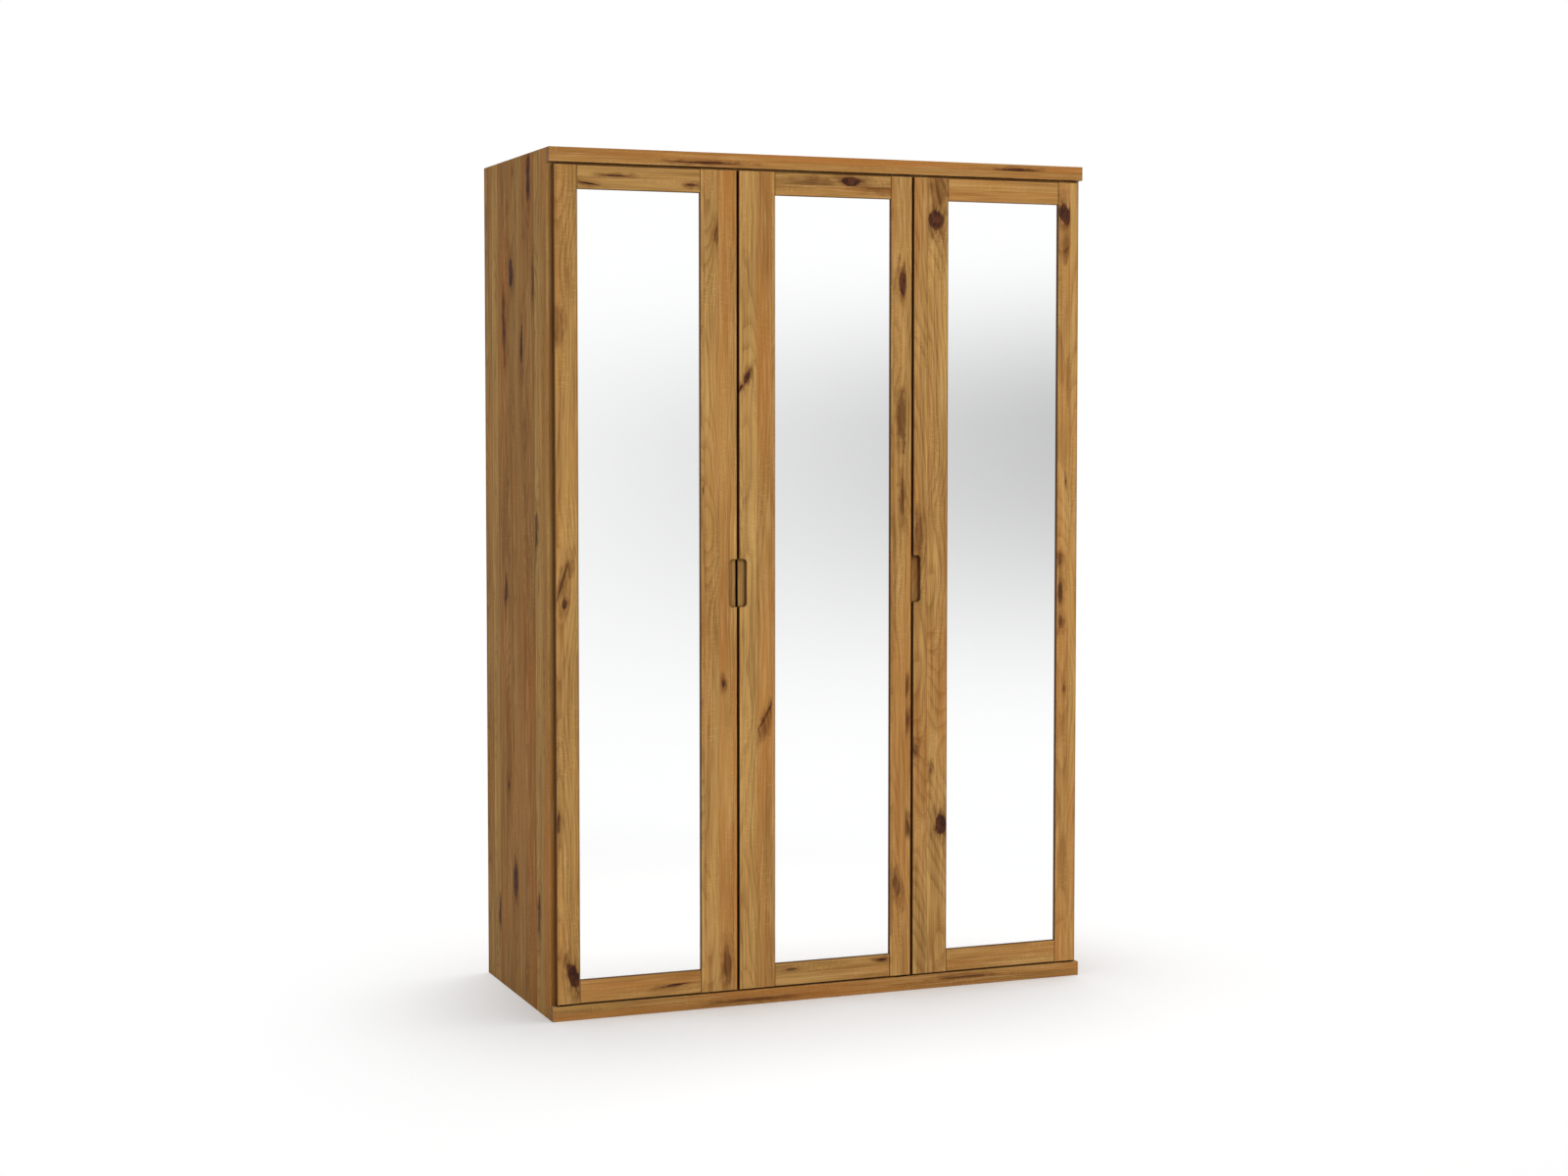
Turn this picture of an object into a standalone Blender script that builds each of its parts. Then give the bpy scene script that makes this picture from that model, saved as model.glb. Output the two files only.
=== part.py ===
"""A three-door wardrobe in solid oak with mirrored framed doors.

Frame: metres, +Z up, the doors face -Y, the origin is at the middle of the footprint on the floor.
The left and the middle door open as a pair over the wide hanging compartment, and the right door opens
over the shelves. The doors turn on offset pivot hinges, whose pins stand in the cornice and in the plinth.
"""

from itertools import product
from math import radians

import bmesh
import bpy
from mathutils import Matrix, Vector

# Overall size
WIDTH = 1.467
HEIGHT = 2.160
DEPTH = 0.612

# Clearances
SEAT_GAP = 0.0003  # between two pieces that touch
CUT_PAST = 0.002  # how far a cutter runs past the face that it opens
EASE = 0.0008  # chamfer on the edges of boards
METAL_EASE = 0.0003
ROUNDING_SLACK = 0.0001  # by which a full round end stays under half its width

# Carcase boards
SIDE_THICKNESS = 0.022
PARTITION_THICKNESS = 0.022
FLOOR_THICKNESS = 0.022  # the top and the bottom panel
FLOOR_SET_IN = 0.028  # from the wardrobe's top or underside to the top or bottom panel
HOUSING_DEPTH = 0.006  # how far the panels' ends sit in the sides
CORNICE_HEIGHT = 0.036
PLINTH_HEIGHT = 0.037

# Back
BACK_THICKNESS = 0.008
BACK_INSET = 0.010
BACK_GROOVE_DEPTH = 0.007
BACK_END_GAP = 0.012  # from the floor, and from the wardrobe's top
JOINT_STRIP_WIDTH = 0.026
JOINT_STRIP_FLANGE = 0.002
JOINT_STRIP_WEB = 0.003

# Supports under the bottom panel
REAR_RAIL_THICKNESS = 0.020
REAR_RAIL_INSET = 0.040
RUNNER_WIDTH = 0.040
RUNNER_INSET = 0.030

# Doors
DOOR_THICKNESS = 0.020
DOOR_GAP = 0.0055  # between two doors
DOOR_REVEAL = 0.012  # of the side panel's edge, beside the outer doors
DOOR_TOP_GAP = 0.0065
DOOR_BOTTOM_GAP = 0.0045
DOOR_BACK_GAP = 0.0018  # to the carcase's front edges, enough for the door's corner to swing
HINGE_STILE_WIDTH = 0.060
HANDLE_STILE_WIDTH = 0.098
RAIL_HEIGHT = 0.059
LIP_THICKNESS = 0.005  # of the frame, in front of the mirror
REBATE_WIDTH = 0.009
TENON_LENGTH = 0.020
TENON_THICKNESS = 0.006
TENON_INSET = 0.008  # from the rail's edges
TENON_FROM_FRONT = 0.008
MIRROR_THICKNESS = 0.004
PANE_EDGE_GAP = 0.0005  # between a pane's edge and the rebate
BACKING_INSET = 0.0004  # from the door's back

# Finger pulls, milled into the door's front and open to its edge
PULL_LENGTH = 0.120
PULL_WIDTH = 0.020
PULL_DEPTH = 0.012
PULL_RADIUS = 0.009
PULL_UNDERCUT = 0.004
PULL_UNDERCUT_HEIGHT = 0.005

# Pivot hinges
PIVOT_FROM_FRONT = 0.008
LEAF_LENGTH = 0.042
LEAF_WIDTH = 0.010  # the pin stands in the middle of its round end
LEAF_THICKNESS = 0.003
PIN_RADIUS = 0.003
PIN_CLEARANCE = 0.0001
PIN_ENGAGEMENT = 0.008  # past the leaf, into the door
COLLAR_RADIUS = 0.0045
ROUND_SIDES = 24

# Magnetic catches under the top panel
CATCH_SIZE = Vector((0.046, 0.016, 0.014))
STRIKE_SIZE = Vector((0.040, 0.0010, 0.010))
CATCH_FROM_EDGE = 0.045
CATCH_BELOW_PANEL = 0.002  # from the catch's underside to the strike's

# Interior
HAT_SPACE_HEIGHT = 0.290  # from the hat shelf to the top panel
SHELF_THICKNESS = 0.020
SHELF_FRONT_INSET = 0.020
SHELF_COUNT = 5
HANGING_RAIL_DROP = 0.070  # from the hat shelf to the rail's centre
HANGING_RAIL_HEIGHT = 0.030
HANGING_RAIL_DEPTH = 0.015
HANGING_RAIL_WALL = 0.0015
BRACKET_FLANGE = 0.003
BRACKET_COLLAR = 0.012
BRACKET_WALL = 0.002
BRACKET_MARGIN = 0.009  # of the flange past the collar, above and below

# Rows of holes for the shelf pins
PIN_HOLE_RADIUS = 0.0025
PIN_HOLE_DEPTH = 0.010
PIN_HOLE_PITCH = 0.032
PIN_HOLE_SIDES = 8
PIN_HOLES_BELOW_SHELF = (-1, 0, 1)  # in pitches from the hole that carries the shelf
PIN_ROW_INSET = 0.060  # from the shelf's front and back edge

# Places worked out from the sizes
LEFT = -WIDTH / 2
RIGHT = WIDTH / 2
FRONT = -DEPTH / 2
BACK = DEPTH / 2
CARCASE_FRONT = FRONT + DOOR_THICKNESS + DOOR_BACK_GAP
INNER_LEFT = LEFT + SIDE_THICKNESS
INNER_RIGHT = RIGHT - SIDE_THICKNESS
DOOR_WIDTH = (WIDTH - 2 * DOOR_REVEAL - 2 * DOOR_GAP) / 3
DOOR_LEFTS = [LEFT + DOOR_REVEAL + n * (DOOR_WIDTH + DOOR_GAP) for n in range(3)]
DOOR_BOTTOM = PLINTH_HEIGHT + DOOR_BOTTOM_GAP
DOOR_TOP = HEIGHT - CORNICE_HEIGHT - DOOR_TOP_GAP
PARTITION_X = DOOR_LEFTS[2] - DOOR_GAP / 2
PARTITION_LEFT = PARTITION_X - PARTITION_THICKNESS / 2
PARTITION_RIGHT = PARTITION_X + PARTITION_THICKNESS / 2
BOTTOM_PANEL_TOP = FLOOR_SET_IN + FLOOR_THICKNESS
TOP_PANEL_UNDERSIDE = HEIGHT - FLOOR_SET_IN - FLOOR_THICKNESS
BACK_FACE = BACK - BACK_INSET - BACK_THICKNESS  # the back panels' inner face
INNER_BACK = BACK_FACE - SEAT_GAP
HAT_SHELF_HEIGHT = TOP_PANEL_UNDERSIDE - HAT_SPACE_HEIGHT - SHELF_THICKNESS  # to its underside
PIVOT_FROM_EDGE = LEAF_WIDTH / 2
MIRROR_FROM_FRONT = LIP_THICKNESS + SEAT_GAP
BACKING_FROM_FRONT = MIRROR_FROM_FRONT + MIRROR_THICKNESS + SEAT_GAP

AXES = "XYZ"
SHARP_ANGLE = radians(35)


def material(name, colour, roughness, metallic=0.0):
    made = bpy.data.materials.new(name)
    made.use_nodes = True
    shader = made.node_tree.nodes["Principled BSDF"]
    shader.inputs["Base Color"].default_value = (*colour, 1.0)
    shader.inputs["Roughness"].default_value = roughness
    shader.inputs["Metallic"].default_value = metallic
    return made


def block(name, low, high, parent=None, round_axis=None, radius=0.0, segments=6):
    """A box between two corners, with the four edges along one axis rounded if asked."""
    low, high = Vector(low), Vector(high)
    size = high - low
    shape = bmesh.new()
    bmesh.ops.create_cube(shape, size=1.0)
    bmesh.ops.scale(shape, vec=size, verts=shape.verts)
    if round_axis:
        along = AXES.index(round_axis)
        edges = [
            e for e in shape.edges if abs((e.verts[0].co - e.verts[1].co)[along]) > size[along] / 2
        ]
        bmesh.ops.bevel(shape, geom=edges, offset=radius, segments=segments, profile=0.5, affect="EDGES")
    return place(name, shape, (low + high) / 2, parent, smooth=bool(round_axis))


def cylinder(name, centre, radius, height, parent=None):
    """An upright round bar about its centre."""
    shape = bmesh.new()
    bmesh.ops.create_cone(
        shape, cap_ends=True, segments=ROUND_SIDES, radius1=radius, radius2=radius, depth=height
    )
    return place(name, shape, centre, parent, smooth=True)


def place(name, shape, centre, parent, smooth=False):
    mesh = bpy.data.meshes.new(name)
    shape.to_mesh(mesh)
    shape.free()
    if smooth:
        mesh.shade_smooth()
        mesh.set_sharp_from_angle(angle=SHARP_ANGLE)
    made = bpy.data.objects.new(name, mesh)
    bpy.context.scene.collection.objects.link(made)
    made.location = Vector(centre) - (parent.location if parent else Vector())
    made.parent = parent
    return made


def finish(piece, skin, ease=EASE):
    """Gives a piece its material and the eased edges of its blank."""
    piece.data.materials.append(skin)
    if ease:
        bevel = piece.modifiers.new("eased_edges", "BEVEL")
        bevel.width = ease
        bevel.segments = 1
        bevel.limit_method = "ANGLE"
        bevel.harden_normals = True
    return piece


def combine(piece, other, operation):
    """Cuts the other shape from the piece, or joins it on, and hides the other shape."""
    other.hide_render = True
    other.display_type = "WIRE"
    boolean = piece.modifiers.new(other.name, "BOOLEAN")
    boolean.operation = operation
    boolean.solver = "EXACT"
    boolean.object = other


def cut(piece, low, high, **rounding):
    name = f"{piece.name}_cutter_{len(piece.modifiers)}"
    combine(piece, block(name, low, high, piece.parent, **rounding), "DIFFERENCE")


def bore(piece, centre, radius, height):
    name = f"{piece.name}_drill_{len(piece.modifiers)}"
    combine(piece, cylinder(name, centre, radius, height, piece.parent), "DIFFERENCE")


def join(piece, low, high, **rounding):
    name = f"{piece.name}_addition_{len(piece.modifiers)}"
    combine(piece, block(name, low, high, piece.parent, **rounding), "UNION")


def join_round(piece, centre, radius, height):
    name = f"{piece.name}_boss_{len(piece.modifiers)}"
    combine(piece, cylinder(name, centre, radius, height, piece.parent), "UNION")


def shelf_heights():
    """The undersides of the shelves, evenly spaced over the right compartment."""
    room = TOP_PANEL_UNDERSIDE - BOTTOM_PANEL_TOP
    bay = (room - SHELF_COUNT * SHELF_THICKNESS) / (SHELF_COUNT + 1)
    return [BOTTOM_PANEL_TOP + bay + n * (bay + SHELF_THICKNESS) for n in range(SHELF_COUNT)]


def drill_pin_rows(panel, face_x, into, undersides):
    """Drills the shelf pins' holes into a panel's face. The pins carry each shelf at its underside."""
    x = face_x + into * (PIN_HOLE_DEPTH - CUT_PAST) / 2
    rows = (CARCASE_FRONT + SHELF_FRONT_INSET + PIN_ROW_INSET, INNER_BACK - PIN_ROW_INSET)
    upright_to_x = Matrix.Rotation(radians(90), 4, "Y")
    drills = bmesh.new()
    for underside, y, step in product(undersides, rows, PIN_HOLES_BELOW_SHELF):
        z = underside - PIN_HOLE_RADIUS + step * PIN_HOLE_PITCH
        bmesh.ops.create_cone(
            drills,
            cap_ends=True,
            segments=PIN_HOLE_SIDES,
            radius1=PIN_HOLE_RADIUS,
            radius2=PIN_HOLE_RADIUS,
            depth=PIN_HOLE_DEPTH + CUT_PAST,
            matrix=Matrix.Translation((x, y, z)) @ upright_to_x,
        )
    name = f"{panel.name}_pin_drills_{len(panel.modifiers)}"
    combine(panel, place(name, drills, (0, 0, 0), None), "DIFFERENCE")


def side_panel(name, outer, inward, oak, pin_undersides):
    """A side of the carcase, housed for the top and bottom panels and grooved for the back."""
    inner = outer + inward * SIDE_THICKNESS
    x = sorted((outer, inner))
    panel = finish(block(name, (x[0], CARCASE_FRONT, 0), (x[1], BACK, HEIGHT)), oak)
    housing = sorted((inner - inward * HOUSING_DEPTH, inner + inward * CUT_PAST))
    for underside in (FLOOR_SET_IN, TOP_PANEL_UNDERSIDE):
        cut(
            panel,
            (housing[0], CARCASE_FRONT - CUT_PAST, underside - SEAT_GAP),
            (housing[1], INNER_BACK + SEAT_GAP, underside + FLOOR_THICKNESS + SEAT_GAP),
        )
    groove = sorted((inner - inward * BACK_GROOVE_DEPTH, inner + inward * CUT_PAST))
    cut(
        panel,
        (groove[0], BACK_FACE - SEAT_GAP, -CUT_PAST),
        (groove[1], BACK_FACE + BACK_THICKNESS + SEAT_GAP, HEIGHT + CUT_PAST),
    )
    drill_pin_rows(panel, inner, -inward, pin_undersides)


def partition(oak, undersides):
    """The upright between the compartments, which the middle and the right door close against."""
    panel = block(
        "partition",
        (PARTITION_LEFT, CARCASE_FRONT, BOTTOM_PANEL_TOP + SEAT_GAP),
        (PARTITION_RIGHT, INNER_BACK, TOP_PANEL_UNDERSIDE - SEAT_GAP),
    )
    finish(panel, oak)
    drill_pin_rows(panel, PARTITION_RIGHT, -1, undersides)
    drill_pin_rows(panel, PARTITION_LEFT, 1, (HAT_SHELF_HEIGHT,))


def floor_panel(name, underside, oak):
    """The top or the bottom panel, whose ends sit in the sides' housings."""
    reach = HOUSING_DEPTH - SEAT_GAP
    low = (INNER_LEFT - reach, CARCASE_FRONT, underside)
    high = (INNER_RIGHT + reach, INNER_BACK, underside + FLOOR_THICKNESS)
    finish(block(name, low, high), oak, 0.0)


def front_strip(name, underside, height, oak):
    """The cornice or the plinth: a strip across the whole front, level with the doors' faces."""
    low = (LEFT, FRONT, underside)
    return finish(block(name, low, (RIGHT, CARCASE_FRONT - SEAT_GAP, underside + height)), oak)


def back_panels(board, plastic):
    """Three boards: the outer edges sit in the sides, one joint is on the partition, one in an H strip."""
    left_end = INNER_LEFT - BACK_GROOVE_DEPTH + SEAT_GAP
    right_end = INNER_RIGHT + BACK_GROOVE_DEPTH - SEAT_GAP
    strip_x = (left_end + PARTITION_X) / 2
    web = JOINT_STRIP_WEB / 2 + SEAT_GAP
    spans = {
        "back_panel_left": (left_end, strip_x - web),
        "back_panel_middle": (strip_x + web, PARTITION_X - SEAT_GAP / 2),
        "back_panel_right": (PARTITION_X + SEAT_GAP / 2, right_end),
    }
    z = (BACK_END_GAP, HEIGHT - BACK_END_GAP)
    for name, (x0, x1) in spans.items():
        finish(block(name, (x0, BACK_FACE, z[0]), (x1, BACK_FACE + BACK_THICKNESS, z[1])), board, 0.0)
    strip_z = (BOTTOM_PANEL_TOP + SEAT_GAP, TOP_PANEL_UNDERSIDE - SEAT_GAP)
    strip = block(
        "back_joint_strip",
        (strip_x - JOINT_STRIP_WIDTH / 2, BACK_FACE - JOINT_STRIP_FLANGE - SEAT_GAP, strip_z[0]),
        (
            strip_x + JOINT_STRIP_WIDTH / 2,
            BACK_FACE + BACK_THICKNESS + JOINT_STRIP_FLANGE + SEAT_GAP,
            strip_z[1],
        ),
    )
    finish(strip, plastic, 0.0)
    for side in (-1, 1):
        x = sorted((strip_x + side * JOINT_STRIP_WEB / 2, strip_x + side * JOINT_STRIP_WIDTH))
        cut(
            strip,
            (x[0], BACK_FACE - SEAT_GAP, strip_z[0] - CUT_PAST),
            (x[1], BACK_FACE + BACK_THICKNESS + SEAT_GAP, strip_z[1] + CUT_PAST),
        )


def supports(oak):
    """What carries the bottom panel: a rail near the back, and a runner under the partition."""
    top = FLOOR_SET_IN - SEAT_GAP
    rail_back = BACK_FACE - REAR_RAIL_INSET
    rail_front = rail_back - REAR_RAIL_THICKNESS
    finish(
        block(
            "rear_plinth_rail",
            (INNER_LEFT + SEAT_GAP, rail_front, 0),
            (INNER_RIGHT - SEAT_GAP, rail_back, top),
        ),
        oak,
    )
    finish(
        block(
            "centre_runner",
            (PARTITION_X - RUNNER_WIDTH / 2, CARCASE_FRONT + RUNNER_INSET, 0),
            (PARTITION_X + RUNNER_WIDTH / 2, rail_front - SEAT_GAP, top),
        ),
        oak,
    )


def shelf(name, x0, x1, underside, back, oak):
    low = (x0 + SEAT_GAP, CARCASE_FRONT + SHELF_FRONT_INSET, underside)
    finish(block(name, low, (x1 - SEAT_GAP, back, underside + SHELF_THICKNESS)), oak)


def hanging_rail(steel):
    """An oval tube below the hat shelf, held at each end in a flanged bracket."""
    y = (CARCASE_FRONT + SHELF_FRONT_INSET + INNER_BACK) / 2
    z = HAT_SHELF_HEIGHT - HANGING_RAIL_DROP
    half_depth, half_height = HANGING_RAIL_DEPTH / 2, HANGING_RAIL_HEIGHT / 2

    def oval(x0, x1, grow):
        low = (x0, y - half_depth - grow, z - half_height - grow)
        high = (x1, y + half_depth + grow, z + half_height + grow)
        return {"low": low, "high": high, "round_axis": "X", "radius": half_depth + grow - ROUNDING_SLACK}

    x0 = INNER_LEFT + BRACKET_FLANGE + 2 * SEAT_GAP
    x1 = PARTITION_LEFT - BRACKET_FLANGE - 2 * SEAT_GAP
    tube = block("hanging_rail", **oval(x0, x1, 0.0))
    finish(tube, steel, 0.0)
    cut(tube, **oval(x0 - CUT_PAST, x1 + CUT_PAST, -HANGING_RAIL_WALL))

    for name, wall, inward in (
        ("rail_bracket_left", INNER_LEFT, 1),
        ("rail_bracket_right", PARTITION_LEFT, -1),
    ):
        foot = wall + inward * SEAT_GAP
        flange = sorted((foot, foot + inward * BRACKET_FLANGE))
        collar = sorted((foot, foot + inward * (BRACKET_FLANGE + BRACKET_COLLAR)))
        mouth = sorted((flange[inward > 0], foot + inward * (BRACKET_FLANGE + BRACKET_COLLAR + CUT_PAST)))
        bracket = block(name, **oval(*flange, BRACKET_MARGIN))
        finish(bracket, steel, METAL_EASE)
        join(bracket, **oval(*collar, SEAT_GAP + BRACKET_WALL))
        cut(bracket, **oval(*mouth, SEAT_GAP))


def carcase(oak, board, plastic, steel):
    undersides = shelf_heights()
    side_panel("side_panel_left", LEFT, 1, oak, (HAT_SHELF_HEIGHT,))
    side_panel("side_panel_right", RIGHT, -1, oak, undersides)
    partition(oak, undersides)
    floor_panel("bottom_panel", FLOOR_SET_IN, oak)
    floor_panel("top_panel", TOP_PANEL_UNDERSIDE, oak)
    back_panels(board, plastic)
    supports(oak)
    before_strip = BACK_FACE - JOINT_STRIP_FLANGE - 2 * SEAT_GAP
    shelf("hat_shelf", INNER_LEFT, PARTITION_LEFT, HAT_SHELF_HEIGHT, before_strip, oak)
    for number, underside in enumerate(undersides, 1):
        shelf(f"shelf_{number}", PARTITION_RIGHT, INNER_RIGHT, underside, INNER_BACK, oak)
    hanging_rail(steel)
    plinth = front_strip("plinth_strip", 0, PLINTH_HEIGHT, oak)
    cornice = front_strip("cornice_strip", HEIGHT - CORNICE_HEIGHT, CORNICE_HEIGHT, oak)
    return plinth, cornice


class Door:
    """One framed mirror door. Places across it are distances from its hinged edge."""

    def __init__(self, name, hinged_edge, inward):
        self.name = name
        self.edge = hinged_edge
        self.inward = inward
        self.axis = bpy.data.objects.new(f"{name}_axis", None)
        bpy.context.scene.collection.objects.link(self.axis)
        self.pivot = (self.across(PIVOT_FROM_EDGE), FRONT + PIVOT_FROM_FRONT)
        self.axis.location = (*self.pivot, 0)

    def across(self, distance):
        return self.edge + self.inward * distance

    def corners(self, s0, s1, y0, y1, z0, z1):
        """The low and high corner of a box given by distances from the hinged edge and from the front."""
        x = sorted((self.across(s0), self.across(s1)))
        return {"low": (x[0], FRONT + y0, z0), "high": (x[1], FRONT + y1, z1)}

    def stile(self, name, s0, s1, rebate_at, oak):
        """An upright of the frame, rebated behind its inner edge and mortised for the two rails."""
        corners = self.corners(s0, s1, 0, DOOR_THICKNESS, DOOR_BOTTOM, DOOR_TOP)
        piece = finish(block(name, **corners, parent=self.axis), oak)
        outward = 1 if rebate_at == s0 else -1  # from the mirror into the stile
        shoulder = rebate_at + outward * REBATE_WIDTH
        past = rebate_at - outward * CUT_PAST
        ends = (DOOR_BOTTOM - CUT_PAST, DOOR_TOP + CUT_PAST)
        cut(piece, **self.corners(past, shoulder, LIP_THICKNESS, DOOR_THICKNESS + CUT_PAST, *ends))
        depth = shoulder + outward * (TENON_LENGTH + SEAT_GAP)
        for low, high in self.tenon_heights():
            y = (TENON_FROM_FRONT - SEAT_GAP, TENON_FROM_FRONT + TENON_THICKNESS + SEAT_GAP)
            cut(piece, **self.corners(past, depth, *y, low - SEAT_GAP, high + SEAT_GAP))
        return piece

    def tenon_heights(self):
        """The low and high edge of each tenon, bottom rail first. A rail is lower behind its lip."""
        body = RAIL_HEIGHT - REBATE_WIDTH
        return (
            (DOOR_BOTTOM + TENON_INSET, DOOR_BOTTOM + body - TENON_INSET),
            (DOOR_TOP - body + TENON_INSET, DOOR_TOP - TENON_INSET),
        )

    def rail(self, name, z0, z1, mirror_edge, tenon, oak):
        """A cross member, rebated behind its inner edge, whose tenons enter both stiles."""
        s0 = HINGE_STILE_WIDTH + SEAT_GAP
        s1 = DOOR_WIDTH - HANDLE_STILE_WIDTH - SEAT_GAP
        corners = self.corners(s0, s1, 0, DOOR_THICKNESS, z0, z1)
        piece = finish(block(name, **corners, parent=self.axis), oak)
        into = 1 if mirror_edge == z0 else -1
        rebate = sorted((mirror_edge - into * CUT_PAST, mirror_edge + into * REBATE_WIDTH))
        past_ends = (s0 - CUT_PAST, s1 + CUT_PAST)
        cut(piece, **self.corners(*past_ends, LIP_THICKNESS, DOOR_THICKNESS + CUT_PAST, *rebate))
        body = sorted((mirror_edge + into * REBATE_WIDTH, z1 if into > 0 else z0))
        shoulders = (s0 - REBATE_WIDTH, s1 + REBATE_WIDTH)
        join(piece, **self.corners(*shoulders, LIP_THICKNESS + SEAT_GAP, DOOR_THICKNESS, *body))
        ends = (shoulders[0] - TENON_LENGTH, shoulders[1] + TENON_LENGTH)
        y = (TENON_FROM_FRONT, TENON_FROM_FRONT + TENON_THICKNESS)
        join(piece, **self.corners(*ends, *y, *tenon))

    def pane(self, name, y0, y1, skin):
        """A sheet in the frame's rebate: the mirror, or the backing behind it."""
        reach = REBATE_WIDTH - PANE_EDGE_GAP
        corners = self.corners(
            HINGE_STILE_WIDTH - reach,
            DOOR_WIDTH - HANDLE_STILE_WIDTH + reach,
            y0,
            y1,
            DOOR_BOTTOM + RAIL_HEIGHT - reach,
            DOOR_TOP - RAIL_HEIGHT + reach,
        )
        finish(block(name, **corners, parent=self.axis), skin, METAL_EASE)

    def mill_finger_pull(self, stile):
        """A pocket at mid height with round corners, open to the door's edge and undercut at its wall."""
        middle = HEIGHT / 2
        wall = DOOR_WIDTH - PULL_WIDTH
        past = DOOR_WIDTH + PULL_RADIUS + CUT_PAST
        z = (middle - PULL_LENGTH / 2, middle + PULL_LENGTH / 2)
        shape = {"round_axis": "Y", "radius": PULL_RADIUS}
        cut(stile, **self.corners(wall, past, -CUT_PAST, PULL_DEPTH, *z), **shape)
        z = (z[0] - PULL_UNDERCUT, z[1] + PULL_UNDERCUT)
        y = (PULL_DEPTH - PULL_UNDERCUT_HEIGHT, PULL_DEPTH)
        past += PULL_UNDERCUT
        shape["radius"] += PULL_UNDERCUT - ROUNDING_SLACK
        cut(stile, **self.corners(wall - PULL_UNDERCUT, past, *y, *z), **shape)

    def leaf(self, name, z0, z1, parent):
        """A hinge leaf's plate, from near the door's edge inwards, round at both ends."""
        half = LEAF_WIDTH / 2
        corners = self.corners(
            PIVOT_FROM_EDGE - half + SEAT_GAP,
            LEAF_LENGTH,
            PIVOT_FROM_FRONT - half,
            PIVOT_FROM_FRONT + half,
            z0,
            z1,
        )
        return block(name, **corners, parent=parent, round_axis="Z", radius=half - ROUNDING_SLACK)

    def leaf_seat(self, piece, z0, z1):
        """Cuts the seat of a leaf into a strip or a stile."""
        half = LEAF_WIDTH / 2 + SEAT_GAP
        corners = self.corners(
            PIVOT_FROM_EDGE - half,
            LEAF_LENGTH + SEAT_GAP,
            PIVOT_FROM_FRONT - half,
            PIVOT_FROM_FRONT + half,
            z0,
            z1,
        )
        cut(piece, **corners, round_axis="Z", radius=half - ROUNDING_SLACK)

    def pivot_hinge(self, end, strip, stile, door_edge, strip_face, collar, steel):
        """One hinge: a leaf with the pin in the strip, and a leaf with the hole in the door's end."""
        up = 1 if strip_face > door_edge else -1  # from the door towards the strip
        sunk = LEAF_THICKNESS + SEAT_GAP
        z = sorted((strip_face - up * CUT_PAST, strip_face + up * sunk))
        self.leaf_seat(strip, *z)
        z = sorted((strip_face, strip_face + up * LEAF_THICKNESS))
        fixed = self.leaf(f"{self.name}_{end}_pivot_pin", *z, None)
        finish(fixed, steel, 0.0)
        tip = door_edge - up * (LEAF_THICKNESS + PIN_ENGAGEMENT)
        root = strip_face + up * LEAF_THICKNESS / 2
        join_round(fixed, (*self.pivot, (tip + root) / 2), PIN_RADIUS, abs(root - tip))
        if collar:
            shoulder = door_edge + up * SEAT_GAP
            join_round(fixed, (*self.pivot, (shoulder + root) / 2), COLLAR_RADIUS, abs(root - shoulder))

        z = sorted((door_edge + up * CUT_PAST, door_edge - up * sunk))
        self.leaf_seat(stile, *z)
        z = sorted((door_edge, door_edge - up * LEAF_THICKNESS))
        moving = self.leaf(f"{self.name}_{end}_pivot_plate", *z, self.axis)
        finish(moving, steel, 0.0)
        hole = PIN_RADIUS + PIN_CLEARANCE
        bore(moving, (*self.pivot, door_edge - up * LEAF_THICKNESS / 2), hole, 4 * LEAF_THICKNESS)
        floor = tip - up * SEAT_GAP
        mouth = door_edge - up * LEAF_THICKNESS / 2
        bore(stile, (*self.pivot, (floor + mouth) / 2), hole, abs(mouth - floor))

    def catch(self, steel, plastic):
        """A magnetic catch under the top panel, and its strike on the back of the handle stile."""
        centre = self.across(DOOR_WIDTH - CATCH_FROM_EDGE)
        top = TOP_PANEL_UNDERSIDE - SEAT_GAP
        half = CATCH_SIZE.x / 2
        finish(
            block(
                f"{self.name}_catch",
                (centre - half, CARCASE_FRONT, top - CATCH_SIZE.z),
                (centre + half, CARCASE_FRONT + CATCH_SIZE.y, top),
            ),
            plastic,
            EASE,
        )
        half = STRIKE_SIZE.x / 2
        y = FRONT + DOOR_THICKNESS + SEAT_GAP
        low = top - CATCH_SIZE.z + CATCH_BELOW_PANEL
        finish(
            block(
                f"{self.name}_strike",
                (centre - half, y, low),
                (centre + half, y + STRIKE_SIZE.y, low + STRIKE_SIZE.z),
                parent=self.axis,
            ),
            steel,
            METAL_EASE,
        )

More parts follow.
